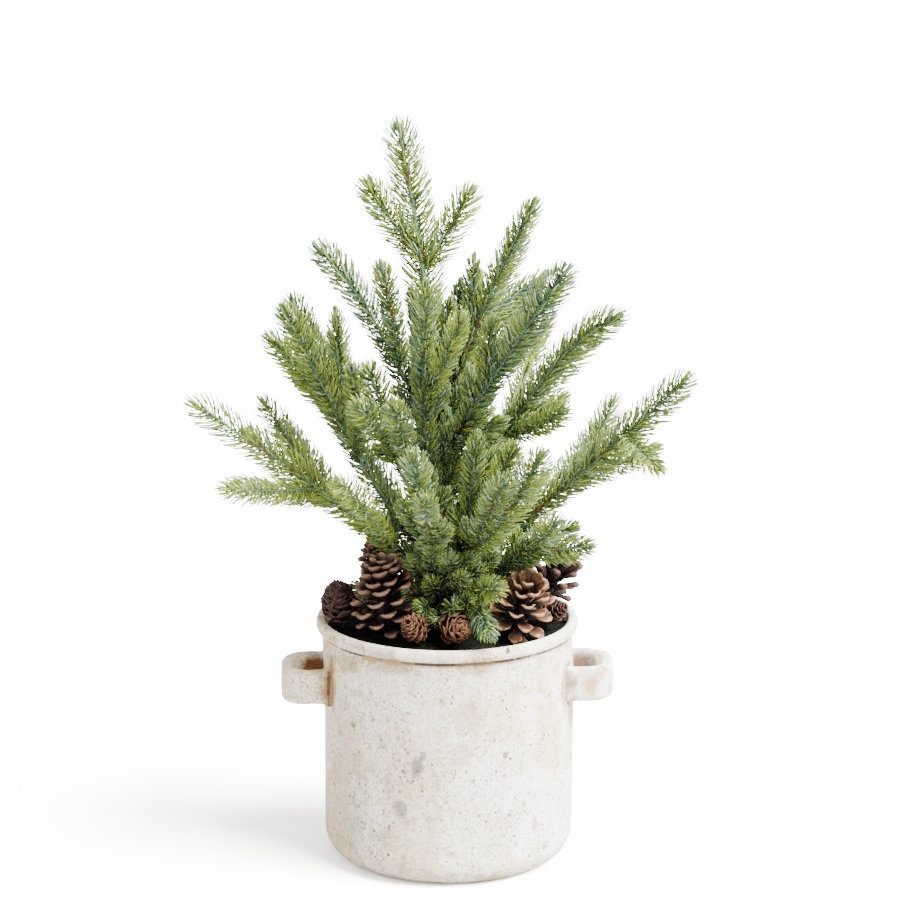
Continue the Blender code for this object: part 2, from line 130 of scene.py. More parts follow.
class CrockSettings(bpy.types.PropertyGroup):
    wall_radius: length("Wall Radius", "Outer radius of the straight wall", RIM_RADIUS - 3.9 * MM)
    mouth_radius: length("Mouth Radius", "Inner radius just under the lip", RIM_RADIUS - 7.0 * MM)
    bore_radius: length("Bore Radius", "Inner radius of the body", RIM_RADIUS - 11.5 * MM)
    base_corner: length("Base Corner", "Rounding where wall meets underside", 18.0 * MM)
    floor_height: length("Floor Height", "Thickness of the floor", 12.0 * MM)
    settle: length("Settle", "How far the wall stands to the right of the lip", 1.2 * MM)
    unevenness: length("Unevenness", "How far the hand-formed wall wanders", 0.55 * MM)
    sides: count_of("Sides", "Faces round the wall", 240)
    cream: colour_of("Cream", "Warm ground colour", (227, 209, 178))
    whitewash: colour_of("Whitewash", "Cooler worn wash", (241, 235, 225))
    # Grey also paints shade in the back of the right loop's hollow
    grey: colour_of("Grey", "Bare grey patches and pits", (118, 112, 107))
    ochre: colour_of("Ochre", "Yellow stains", (186, 148, 84))
    # Umber is a brown stain by the right loop's front leg and also paints shade in the back of both loop hollows
    umber: colour_of("Umber", "Brown damp in the loops", (94, 62, 30))
    # Pit also paints the dark shade line along the lip's crease
    pit: colour_of("Pit", "Dark specks in the pits", (58, 48, 38))
    rust: colour_of("Rust", "Rust stains", (130, 92, 42))
    tan: colour_of("Tan", "Tan stains in creases", (154, 132, 96))


class HandleSettings(bpy.types.PropertyGroup):
    reach: length("Reach", "How far a loop stands out from the wall", 29.0 * MM)
    width: length("Width", "Width of a loop along the wall", 54.0 * MM)
    strap: length("Strap", "Thickness of the strap", 9.0 * MM)
    depth: length("Depth", "Height of the strap", 24.0 * MM)
    rounding: length("Rounding", "Rounding of the strap's edges", 3.4 * MM)
    bend: length("Bend", "Radius of the loop's turns", 15.0 * MM)
    height: length("Height", "Height of the strap's middle above the underside", 127.0 * MM)
    right_rise: length("Right Rise", "How much higher the right loop sits", 2.0 * MM)


class MossSettings(bpy.types.PropertyGroup):
    crown: length("Crown", "Height of the moss at the trunk", 172.6 * MM)
    edge: length("Edge", "Height of the moss at the wall", 162.5 * MM)
    lump: length("Lump", "Height of the lumps", 1.6 * MM)
    tuft: length("Tuft", "Length of a moss leaf", 2.6 * MM)
    tufts: count_of("Tufts", "Number of moss leaves", 9000)
    colour: colour_of("Moss", "Moss colour", (22, 25, 15))
    shade: colour_of("Shade", "Colour deep in the moss", (9, 10, 7))


class NeedleSettings(bpy.types.PropertyGroup):
    length: length("Length", "Length of a full needle", 18.2 * MM)
    width: length("Width", "Greatest width of a needle", 1.08 * MM)
    thickness: length("Thickness", "Greatest thickness of a needle", 0.92 * MM)
    curve: share_of("Curve", "Forward bend of a needle as a share of its length", 0.33)
    spacing: length("Spacing", "Length of stem for each needle", 0.315 * MM)
    lean: angle("Lean", "Angle between stem and needle", 63.0)
    tip_lean: angle("Tip Lean", "Angle between stem and needle at the tip", 24.0)
    turn: angle("Turn", "Random turn of a needle about its own line", 12.0)
    seed: count_of("Seed", "Seed of the needles' places", 7)
    yellow: colour_of("Yellow Green", "Fresh under side of the sprigs", (146, 162, 62))
    green: colour_of("Green", "Plain needle green", (114, 135, 62))
    spruce: colour_of("Spruce", "Blue-green of the sprayed upper side", (99, 125, 86))
    # The pale tone is the spray bloom, and partly painted highlight on the needles
    frost: colour_of("Frost", "Pale blue-grey bloom", (146, 165, 140))
    # Olive is the inner needles' darker colour and, near the trunk, partly painted shade
    olive: colour_of("Olive", "Dark olive of the inner needles", (92, 106, 43))
    deep: colour_of("Deep", "Dark blue-green tips and stubs", (54, 78, 61))


class BarkSettings(bpy.types.PropertyGroup):
    foot_radius: length("Foot Radius", "Radius of the trunk at the moss", 8.0 * MM)
    trunk_radius: length("Trunk Radius", "Radius of the trunk above its flare", 4.6 * MM)
    trunk_tip: length("Trunk Tip", "Radius of the trunk at the top", 0.9 * MM)
    bough_root: length("Bough Root", "Radius of a bough at the trunk", 2.1 * MM)
    bough_end: length("Bough End", "Radius of a bough where its needles begin", 1.3 * MM)
    stem_tip: length("Stem Tip", "Radius of a stem at its tip", 0.55 * MM)
    wrap: length("Wrap", "Width of one turn of the paper wrapping", 6.0 * MM)
    ridge: share_of("Ridge", "Relief of the wrapping as a share of the radius", 0.13)
    bark: colour_of("Bark", "Brown wrapping", (56, 40, 28))
    shade: colour_of("Shade", "Dark of the wrapping's folds", (22, 15, 11))
    stem: colour_of("Stem", "Blue-green bloom of the sprig stems", (96, 124, 110))
    red_stem: colour_of("Red Stem", "Red-brown stretches of the stems", (124, 74, 58))


class StageSettings(bpy.types.PropertyGroup):
    camera_distance: length("Camera Distance", "How far in front of the crock the camera stands", 2.0)
    camera_height: length("Camera Height", "Height of the camera above the floor", 0.762)
    camera_pitch: angle("Camera Pitch", "How far the camera looks down", 13.29)
    camera_turn: angle("Camera Turn", "How far the camera turns to the right", 0.057)
    focal_length: plain_number("Focal Length", "Lens of the camera in millimetres", 118.9)
    floor_radius: length("Floor Radius", "Radius of the round floor", 14.0)
    sun_strength: plain_number("Key Strength", "Strength of the key light", 33.0)
    sky_strength: plain_number("Sky Strength", "Strength of the even light all round", 1.25)
    floor_gain: plain_number("Floor Gain", "Brightness of the floor as the camera sees it", 2.5)


# ---- limbs, in millimetres

# Heights along the trunk and how far its middle leans to the right at each
TRUNK_HEIGHTS = (172.8, 207, 241, 290, 339, 381, 407, 438, 471, 510)
TRUNK_LEAN = (-1, 0, -4, -8, -10, -13, -15.5, -19.5, -25, -32)
# Height over which the root flare dies away
TRUNK_FLARE = 9.0
FLARE_LOBES = 5
SPRIG_CURL = 0.12
NEEDLE_START = 0.07
TRUNK_NEEDLES = (250, 372)
LEADER_START = 372

# Each bough leaves the trunk at height "root" and ends at "tip"; "bow" drops its middle and "swing"
# moves it sideways; bark shows up to the share "bare"; "tint" names its mix of needle colours. A
# side sprig has the share of the bough where it starts, its tip and its tint.
Bough = namedtuple("Bough", "root tip bow swing bare tint sprigs")
BOUGHS = {
    "right_top": Bough(300, (57, -20, 461), -20, 0, 0.22, "mixed", (
        (0.37, (18, 0, 420), "dark"), (0.42, (72, 10, 397), "yellow"), (0.46, (64, 12, 408), "mixed"),
        (0.22, (9, 5, 402), "mixed"))),
    "right_front": Bough(276, (75, -100, 430), 12, -17, 0.22, "teal", (
        (0.48, (30, -72, 391), "dark"), (0.56, (66, -55, 389), "mixed"), (0.2, (36, -40, 318), "dark"),
        (0.34, (53, -45, 391), "dark"))),
    "right_upper": Bough(207, (112, -35, 388), -64, -4, 0.3, "dark", (
        (0.36, (76, -75, 333), "mixed"),)),
    "front_upper": Bough(250, (-14, -72, 415), 28, -12, 0.2, "blue", (
        (0.57, (9, -84, 397), "yellow"),)),
    "left_top": Bough(288, (-84, -12, 430), -30, 27, 0.18, "teal", (
        (0.34, (-43, -55, 425), "blue"),)),
    "left_upper": Bough(202, (-105, 12, 389), 50, 12, 0.22, "dark", (
        (0.68, (-108, -48, 395), "dark"), (0.72, (-119, -12, 369), "yellow"),
        (0.7, (-77, 25, 378), "mixed"), (0.58, (-62, -62, 358), "dark"))),
    "left_front": Bough(237, (-51, -78, 361), 20, -4, 0.22, "dark", (
        (0.57, (-58, -92, 341), "mixed"), (0.42, (-34, -98, 341), "blue"))),
    "left_low": Bough(192, (-169, -30, 327), -7, 8, 0.15, "yellow", (
        (0.54, (-126, 10, 319), "yellow"), (0.53, (-146, -85, 283), "yellow"),
        (0.22, (-70, -105, 292), "yellow"))),
    "front_middle": Bough(216, (-22, -100, 307), 52, -2, 0.24, "blue", (
        (0.56, (-29, -88, 272), "dark"), (0.46, (-15, -112, 282), "blue"), (0.3, (-13, -60, 290), "dark"))),
    "front_low": Bough(184, (-7, -74, 256), 12, -10, 0.28, "blue", (
        (0.35, (17, -62, 229), "dark"),)),
    "right_low": Bough(197, (159, -40, 346), 9, -4, 0.2, "dark", (
        (0.61, (114, 5, 321), "dark"), (0.77, (139, -80, 297), "yellow"), (0.14, (23, -30, 266), "dark"))),
    "right_middle": Bough(226, (60, -115, 311), 52, -8, 0.22, "mixed", (
        (0.42, (37, -112, 294), "blue"), (0.22, (34, -48, 283), "blue"), (0.3, (20, -62, 311), "mixed"),
        (0.34, (44, -72, 306), "dark"))),
    "right_foot": Bough(190, (71, -74, 256), 16, 24, 0.22, "blue", (
        (0.68, (93, -66, 238), "mixed"), (0.4, (56, -50, 236), "blue"), (0.5, (83, -50, 246), "mixed"))),
    "front_foot": Bough(180, (33, -82, 213), -5, -3, 0.26, "yellow", (
        (0.52, (28, -88, 184), "teal"),)),
    "back_top": Bough(318, (51, 60, 426), 15, 0, 0.22, "mixed", (
        (0.45, (22, 70, 398), "mixed"), (0.5, (61, 40, 395), "yellow"))),
    "back_right": Bough(262, (101, 85, 352), 20, 10, 0.22, "blue", (
        (0.45, (67, 98, 351), "mixed"), (0.5, (80, 50, 315), "yellow"))),
    "back_right_low": Bough(206, (139, 95, 286), 5, 0, 0.22, "mixed", (
        (0.55, (114, 115, 281), "mixed"), (0.6, (145, 50, 278), "dark"))),
    "back_middle": Bough(240, (0, 110, 349), 25, 0, 0.2, "frosted", (
        (0.45, (-23, 85, 347), "mixed"), (0.5, (24, 100, 336), "yellow"))),
    "back_low": Bough(196, (39, 135, 258), 15, 0, 0.2, "mixed", (
        (0.4, (28, 120, 302), "yellow"), (0.5, (68, 105, 242), "blue"))),
    "back_left": Bough(220, (-103, 85, 361), 42, 0, 0.2, "mixed", (
        (0.6, (-82, 98, 347), "yellow"), (0.58, (-113, 45, 350), "mixed"))),
    "back_left_low": Bough(192, (-141, 90, 278), 0, 0, 0.2, "blue", (
        (0.55, (-120, 116, 280), "mixed"), (0.58, (-146, 40, 255), "yellow"))),
}
LEADER_SPRIGS = ((424, (-52, -10, 473), "yellow"), (417, (15, 5, 466), "yellow"))

TONES = ("yellow", "green", "spruce", "frost", "olive", "deep")
# Share of each tone in a tint, in the order of TONES
TINTS = {
    "mixed": (0.28, 0.34, 0.20, 0.05, 0.09, 0.04),
    "yellow": (0.46, 0.34, 0.08, 0.02, 0.08, 0.02),
    "blue": (0.20, 0.28, 0.32, 0.11, 0.06, 0.03),
    # The frosted tint takes more of the pale tone, partly painted highlight
    "frosted": (0.12, 0.26, 0.34, 0.20, 0.04, 0.04),
    "dark": (0.20, 0.32, 0.18, 0.03, 0.20, 0.07),
    "teal": (0.10, 0.22, 0.36, 0.05, 0.08, 0.19),
}
# How much more of a tone grows on the sprayed upper side of a sprig, in the order of TONES; the extra pale tone
# there is partly painted highlight
UPPER_SIDE = (-0.60, -0.10, 0.50, 0.95, -0.30, 0.35)

# Share of the needles left out at the trunk
INNER_THINNING = 0.08

# Needle length of a bough as a share of the full length, where it is not the full length
NEEDLE_LENGTHS = {"leader": 1.14, "left_top": 1.10, "right_top": 1.05, "front_foot": 0.98, "front_low": 0.95,
                  "front_middle": 0.9, "front_upper": 0.95, "foot": 1.06}

# Needles of a bough as a share of the usual number, where it is not the usual number
NEEDLE_CROWDING = {"leader": 1.08, "left_low": 0.72, "right_low": 0.90, "left_top": 1.12, "right_top": 1.05}

# What the inner needles add to their tint, in the order of TONES; the added olive is partly painted shade deep in
# the crown
INNER_SHARES = (0.02, 0.08, 0.12, 0.05, 0.06, 0.0)


def vec(*values):
    return np.array(values, dtype=float)


def unit(v):
    return v / np.linalg.norm(v)


def around(first, second, angle):
    """Direction at an angle from the first of two crossed directions towards the second."""
    return first * cos(angle) + second * sin(angle)


def arc(start, end, count):
    """Cosine and sine at evenly spaced turns, given in degrees."""
    return [(cos(a), sin(a)) for a in np.radians(np.linspace(start, end, count))]


def rounded(c, s, side_power, end_power):
    """A place on a squared-off oval, from a cosine and a sine."""
    return vec(abs(c) ** side_power * np.sign(c), abs(s) ** end_power * np.sign(s))


def trunk_point(height):
    """Centre of the trunk at a height in millimetres."""
    return vec(np.interp(height, TRUNK_HEIGHTS, TRUNK_LEAN), 0, height) * MM


def trunk_radius(height, sizes):
    foot = TRUNK_HEIGHTS[0]
    share = (height - foot) / (TRUNK_HEIGHTS[-1] - foot)
    flare = (sizes.foot_radius - sizes.trunk_radius) * exp(-(height - foot) / TRUNK_FLARE)
    return sizes.trunk_radius + (sizes.trunk_tip - sizes.trunk_radius) * share + flare


def bough_curve(spec):
    start = trunk_point(spec.root)
    end = vec(*spec.tip) * MM
    chord = end - start
    side = unit(vec(-chord[1], chord[0], 0))
    middle = start + 0.5 * chord + side * spec.swing * MM - UP * spec.bow * MM
    return lambda t: (1 - t) ** 2 * start + 2 * t * (1 - t) * middle + t * t * end


def sprig_curve(start, tip, parent_heading):
    reach = tip - start
    curl = parent_heading * np.linalg.norm(reach) * SPRIG_CURL
    return lambda t: start + reach * t - curl * t * (1 - t)


class Run:
    """A stretch of stem as evenly spaced points, with headings and a pair of cross vectors."""

    def __init__(self, curve, start, end, step):
        fine = np.array([curve(t) for t in np.linspace(start, end, 161)])
        gone = np.concatenate([[0], np.cumsum(np.linalg.norm(np.diff(fine, axis=0), axis=1))])
        self.length = gone[-1]
        self.count = max(4, round(self.length / step) + 1)
        self.at = np.linspace(0, self.length, self.count)
        self.points = np.stack([np.interp(self.at, gone, fine[:, k]) for k in range(3)], axis=1)
        slope = np.gradient(self.points, axis=0)
        self.heads = slope / np.linalg.norm(slope, axis=1)[:, None]
        self.tops = np.array([self.top_of(p, h) for p, h in zip(self.points, self.heads)])
        self.sides = np.cross(self.heads, self.tops)

    @staticmethod
    def top_of(point, head):
        """The sprayed side of a stem: upward, and outward from the middle of the tree."""
        outward = vec(point[0], point[1], 0)
        reach = np.linalg.norm(outward)
        outward = outward / reach if reach > 25 * MM else outward / (25 * MM) + vec(0, -0.4, 0)
        wish = UP * 0.45 + outward * 0.5 + vec(0, -0.7 if point[1] < 20 * MM else 0.1, 0)
        return unit(wish - head * np.dot(wish, head))

    def place(self, distance):
        """Point, heading, top and side at a distance along the stem."""
        found = []
        for rows in (self.points, self.heads, self.tops, self.sides):
            found.append(vec(*(np.interp(distance, self.at, rows[:, k]) for k in range(3))))
        return found[0], unit(found[1]), unit(found[2]), unit(found[3])


def heading_of(curve, t):
    return unit(curve(t + 0.002) - curve(t - 0.002))


def covered_runs(step):
    """Every needled stem as (owner, rank, tint, run): rank 0 is a bough or the leader, 1 a side sprig."""
    top = TRUNK_HEIGHTS[-1]
    leader = Run(lambda t: trunk_point(LEADER_START + (top - LEADER_START) * t), 0.0, 1.0, step)
    low, high = TRUNK_NEEDLES
    trunk = Run(lambda t: trunk_point(low + (high - low) * t), 0.0, 1.0, step)
    runs = [("leader", 0, "yellow", leader), ("trunk", 0, "dark", trunk)]
    for height, tip, tint in LEADER_SPRIGS:
        heading = unit(trunk_point(height + 5) - trunk_point(height - 5))
        runs.append(("leader", 1, tint, Run(sprig_curve(trunk_point(height), vec(*tip) * MM, heading), 0, 1, step)))
    for name, spec in BOUGHS.items():
        main = bough_curve(spec)
        runs.append((name, 0, spec.tint, Run(main, NEEDLE_START, 1.0, step)))
        for share, tip, tint in spec.sprigs:
            side = sprig_curve(main(share), vec(*tip) * MM, heading_of(main, share))
            runs.append((name, 1, tint, Run(side, 0.0, 1.0, step)))
    return runs


# ---- mesh helpers

def settings(name):
    return getattr(bpy.context.scene, "pine_" + name)


def link_mesh(name, mesh, material=None, smooth=True):
    """Put a mesh in the scene as a finished object at the origin."""
    obj = bpy.data.objects.new(name, mesh)
    bpy.context.scene.collection.objects.link(obj)
    if material is not None:
        mesh.materials.clear()
        mesh.materials.append(material)
    mesh.shade_smooth() if smooth else mesh.shade_flat()
    return obj


def finish_piece(obj, slot, *stands_for):
    """Tie a finished piece to the frame."""
    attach(obj, BODY)
    if stands_for:
        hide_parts(*stands_for)


def outward(mesh):
    """Turn all faces of a closed mesh outward."""
    bm = bmesh.new()
    bm.from_mesh(mesh)
    bmesh.ops.recalc_face_normals(bm, faces=bm.faces)
    bm.to_mesh(mesh)
    bm.free()
    return mesh


def finish_skin(skin, name, finish, slot, *stands_for):
    """Finished object of a skin."""
    finish_piece(link_mesh(name, skin.mesh(name), finish()), slot, *stands_for)


def circle(sides):
    """Angles of evenly spaced places round a circle."""
    return np.linspace(0, 2 * pi, sides, endpoint=False)


class Skin:
    """Collects closed tubes and turned shapes into one mesh."""

    def __init__(self):
        self.points = []
        self.faces = []

    def add_rows(self, rows):
        """Skin equal closed rows of points; both ends are closed with a fan to their middle."""
        rows = np.asarray(rows)
        count, sides = rows.shape[:2]
        base = len(self.points)
        self.points.extend(rows.reshape(-1, 3).tolist())
        for i in range(count - 1):
            low = base + i * sides
            high = low + sides
            for k in range(sides):
                n = (k + 1) % sides
                self.faces.append((low + k, low + n, high + n, high + k))
        for row, flip in ((0, True), (count - 1, False)):
            middle = len(self.points)
            self.points.append(rows[row].mean(axis=0).tolist())
            start = base + row * sides
            for k in range(sides):
                n = (k + 1) % sides
                corners = (start + k, start + n, middle)
                self.faces.append(corners[::-1] if flip else corners)

    def mesh(self, name):
        made = bpy.data.meshes.new(name)
        made.from_pydata(self.points, [], self.faces)
        bm = bmesh.new()
        bm.from_mesh(made)
        bmesh.ops.remove_doubles(bm, verts=bm.verts, dist=0.002 * MM)
        bm.to_mesh(made)
        bm.free()
        return outward(made)


def wander(point, scale, seed=0.0):
    """Smooth noise from -1 to 1 at a point; scale is in waves for each metre."""
    return noise.noise(Vector((point[0] * scale + seed, point[1] * scale - seed, point[2] * scale + 2 * seed)))


# ---- node helpers

def made_once(kind, name):
    """Let a maker run once; later calls give what it made."""
    def dress(maker):
        @wraps(maker)
        def found_or_made():
            store = getattr(bpy.data, kind)
            return store[name] if name in store else maker(name)
        return found_or_made
    return dress


class Wiring:
    """Short calls for the nodes of a tree."""

    def __init__(self, tree):
        self.tree = tree

    def add(self, kind, sockets=None, **values):
        """Add a node, set its values and feed its sockets, named or numbered."""
        node = self.tree.nodes.new(kind)
        for key, value in values.items():
            setattr(node, key, value)
        for key, value in (sockets or {}).items():
            self.feed(node.inputs[key], value)
        return node

    def feed(self, socket, value):
        """Link a socket, or set a plain value or colour."""
        if isinstance(value, bpy.types.NodeSocket):
            self.tree.links.new(value, socket)
        elif socket.type == "RGBA" and len(value) == 3:
            socket.default_value = (*value, 1.0)
        else:
            socket.default_value = value

    def math(self, operation, *values):
        return self.add("ShaderNodeMath", dict(enumerate(values)), operation=operation).outputs[0]

    def times(self, first, second):
        return self.math("MULTIPLY", first, second)

    def plus(self, first, second):
        return self.math("ADD", first, second)

    def minus(self, first, second):
        return self.math("SUBTRACT", first, second)

    def vector(self, operation, *values):
        return self.add("ShaderNodeVectorMath", dict(enumerate(values)), operation=operation).outputs

    def blend(self, factor, first, second, mode="MIX"):
        node = self.add("ShaderNodeMix", data_type="RGBA", blend_type=mode)
        given = {"Factor_Float": factor, "A_Color": first, "B_Color": second}
        for socket in node.inputs:
            if socket.identifier in given:
                self.feed(socket, given[socket.identifier])
        return next(s for s in node.outputs if s.identifier == "Result_Color")

    def step(self, value, low, high, to_low=0.0, to_high=1.0):
        """Smooth step of a value between two edges."""
        sockets = {"Value": value, "From Min": low, "From Max": high, "To Min": to_low, "To Max": to_high}
        return self.add("ShaderNodeMapRange", sockets, interpolation_type="SMOOTHSTEP").outputs["Result"]

    def noise(self, place, scale, detail=3.0, roughness=0.55, distortion=0.0):
        sockets = {"Vector": place, "Scale": scale, "Detail": detail, "Roughness": roughness,
                   "Distortion": distortion}
        return self.add("ShaderNodeTexNoise", sockets).outputs[0]

    def stretch(self, place, amounts):
        return self.vector("MULTIPLY", place, amounts)[0]

    def place(self):
        return self.add("ShaderNodeTexCoord").outputs["Object"]

    def split(self, place):
        """X, Y and Z of a place."""
        return self.add("ShaderNodeSeparateXYZ", {0: place}).outputs

    def group(self, tree, **sockets):
        return self.add("ShaderNodeGroup", sockets, node_tree=tree).outputs


# ---- Geometry Nodes: shapes on seats

SEAT_FIELDS = ("heading", "facing", "size")


@made_once("node_groups", "Shapes On Seats")
def seat_tree(name):
    """Node tree that sets a shape on every seat, turned and sized by the seat's own fields."""
    tree = bpy.data.node_groups.new(name, "GeometryNodeTree")
    for socket, kind in (("Seats", "Geometry"), ("Shape", "Object"), ("Random Turn", "Float"),
                         ("Random Size", "Float"), ("Seed", "Int"), ("Finish", "Material")):
        tree.interface.new_socket(socket, in_out="INPUT", socket_type="NodeSocket" + kind)
    tree.interface.new_socket("Shapes", in_out="OUTPUT", socket_type="NodeSocketGeometry")
    w = Wiring(tree)
    given = w.add("NodeGroupInput").outputs

    def drawn(low, high, seed):
        """Random value from low to high."""
        node = w.add("FunctionNodeRandomValue", {"Seed": seed}, data_type="FLOAT")
        for socket, value in zip([s for s in node.inputs if s.type == "VALUE"], (low, high)):
            w.feed(socket, value)
        return next(s for s in node.outputs if s.type == "VALUE")

    def field(name):
        node = w.add("GeometryNodeInputNamedAttribute", {"Name": name}, data_type="FLOAT_VECTOR")
        return node.outputs["Attribute"]

    along = w.add("FunctionNodeAlignRotationToVector", {"Vector": field("heading")}, axis="Z")
    facing = w.add("FunctionNodeAlignRotationToVector",
                   {"Rotation": along.outputs["Rotation"], "Vector": field("facing")}, axis="X", pivot_axis="Z")
    turn = drawn(w.times(given["Random Turn"], -1.0), given["Random Turn"], given["Seed"])
    spin = w.add("FunctionNodeAxisAngleToRotation", {"Axis": (0, 0, 1), "Angle": turn})
    turned = w.add("FunctionNodeRotateRotation", {"Rotation": facing.outputs["Rotation"],
                                                  "Rotate By": spin.outputs["Rotation"]}, rotation_space="LOCAL")
    size = drawn(w.minus(1.0, given["Random Size"]), 1.0, w.plus(given["Seed"], 1.0))
    scale = w.add("ShaderNodeVectorMath", {0: field("size"), "Scale": size}, operation="SCALE")
    points = w.add("GeometryNodeMeshToPoints", {"Mesh": given["Seats"]}, mode="VERTICES")
    shape = w.add("GeometryNodeObjectInfo", {"Object": given["Shape"]}, transform_space="ORIGINAL")
    copies = w.add("GeometryNodeInstanceOnPoints",
                   {"Points": points.outputs["Points"], "Instance": shape.outputs["Geometry"],
                    "Rotation": turned.outputs["Rotation"], "Scale": scale.outputs["Vector"]})
    real = w.add("GeometryNodeRealizeInstances", {"Geometry": copies.outputs["Instances"]})
    finish = w.add("GeometryNodeSetMaterial", {"Geometry": real.outputs["Geometry"], "Material": given["Finish"]})
    w.add("NodeGroupOutput", {"Shapes": finish.outputs["Geometry"]})
    return tree


def set_on_seats(name, seats, shape_mesh, material, turn=0.0, size_spread=0.0, seed=1):
    """Make one plain mesh of a shape repeated on seats: rows of point, heading, facing and size."""
    mesh = bpy.data.meshes.new(name + "_seats")
    mesh.from_pydata([tuple(row[0]) for row in seats], [], [])
    for index, field in enumerate(SEAT_FIELDS, 1):
        layer = mesh.attributes.new(field, "FLOAT_VECTOR", "POINT")
        layer.data.foreach_set("vector", np.array([row[index] for row in seats], dtype=np.float32).ravel())
    holder = bpy.data.objects.new(name + "_seats", mesh)
    bpy.context.scene.collection.objects.link(holder)
    shape = bpy.data.objects.new(name + "_shape", shape_mesh)
    bpy.context.scene.collection.objects.link(shape)
    modifier = holder.modifiers.new("Shapes", "NODES")
    modifier.node_group = seat_tree()
    values = {"Shape": shape, "Random Turn": turn, "Random Size": size_spread, "Seed": seed, "Finish": material}
    for item in modifier.node_group.interface.items_tree:
        if item.in_out == "INPUT" and item.name in values:
            modifier[item.identifier] = values[item.name]
    holder.update_tag()
    bpy.context.view_layer.update()
    graph = bpy.context.evaluated_depsgraph_get()
    result = bpy.data.meshes.new_from_object(holder.evaluated_get(graph), preserve_all_data_layers=True,
                                             depsgraph=graph)
    holder.modifiers.remove(modifier)
    for spare in (holder, shape):
        bpy.data.objects.remove(spare)
    for field in SEAT_FIELDS:
        if field in result.attributes:
            result.attributes.remove(result.attributes[field])
    result.name = name
    return result


# ---- shader groups and finishes

FLOAT = "NodeSocketFloat"
COLOUR = "NodeSocketColor"
VECTOR = "NodeSocketVector"


def new_group(name, inputs, outputs):
    """Shader group with named sockets, a number standing for a float socket with that default."""
    tree = bpy.data.node_groups.new(name, "ShaderNodeTree")
    for socket, kind in inputs.items():
        plain = not isinstance(kind, str)
        made = tree.interface.new_socket(socket, in_out="INPUT", socket_type=FLOAT if plain else kind)
        if plain:
            made.default_value = kind
    for socket, kind in outputs.items():
        tree.interface.new_socket(socket, in_out="OUTPUT", socket_type=kind)
    w = Wiring(tree)
    return w, w.add("NodeGroupInput").outputs, w.add("NodeGroupOutput").inputs


@made_once("node_groups", "Speckle")
def speckle_group(name):
    """Small round pits strewn over a surface."""
    w, given, out = new_group(name, dict(Place=VECTOR, Scale=100.0, Share=0.2, Size=0.2, Edge=0.08),
                              dict(Mask=FLOAT))
    bent = w.vector("MULTIPLY_ADD", w.noise(given["Place"], 900.0, 2.0), (0.0009, 0.0009, 0.0009), given["Place"])
    cells = w.add("ShaderNodeTexVoronoi", {"Vector": bent[0], "Scale": given["Scale"]}, feature="F1")
    draw = w.add("ShaderNodeSeparateColor", {0: cells.outputs["Color"]})
    kept = w.math("LESS_THAN", draw.outputs[0], given["Share"])
    radius = w.times(given["Size"], w.math("MULTIPLY_ADD", draw.outputs[1], 0.75, 0.25))
    inside = w.step(cells.outputs["Distance"], radius, w.plus(radius, given["Edge"]), 1.0, 0.0)
    w.feed(out["Mask"], w.times(inside, kept))
    return w.tree


@made_once("node_groups", "Stain")
def stain_group(name):
    """One ragged stain round a centre; size is its half length each way."""
    w, given, out = new_group(name, dict(Place=VECTOR, Centre=VECTOR, Size=VECTOR, Ragged=0.6, Grain=160.0),
                              dict(Mask=FLOAT))
    offset = w.vector("SUBTRACT", given["Place"], given["Centre"])[0]
    reach = w.vector("LENGTH", w.vector("DIVIDE", offset, given["Size"])[0])["Value"]
    rough = w.minus(w.noise(given["Place"], given["Grain"], 4.0, 0.6), 0.5)
    edge = w.math("MULTIPLY_ADD", rough, w.times(given["Ragged"], 4.0), reach)
    w.feed(out["Mask"], w.step(edge, 0.55, 1.05, 1.0, 0.0))
    return w.tree


@made_once("node_groups", "Mottle")
def mottle_group(name):
    """Patchy change of a colour, with a mask that follows it."""
    w, given, out = new_group(name, dict(Place=VECTOR, Light=COLOUR, Dark=COLOUR, Scale=60.0, Contrast=0.2),
                              dict(Color=COLOUR, Mask=FLOAT))
    field = w.noise(given["Place"], given["Scale"], 5.0, 0.6)
    mask = w.step(field, w.minus(0.5, given["Contrast"]), w.plus(0.5, given["Contrast"]))
    w.feed(out["Color"], w.blend(mask, given["Dark"], given["Light"]))
    w.feed(out["Mask"], mask)
    return w.tree


def new_material(name, specular=0.3):
    material = bpy.data.materials.new(name)
    material.use_nodes = True
    shader = material.node_tree.nodes["Principled BSDF"]
    shader.inputs["Specular IOR Level"].default_value = specular
    return material, Wiring(material.node_tree), shader


def add_bump(w, shader, height, strength, distance):
    bump = w.add("ShaderNodeBump", {"Strength": strength, "Distance": distance, "Height": height})
    w.feed(shader.inputs["Normal"], bump.outputs["Normal"])
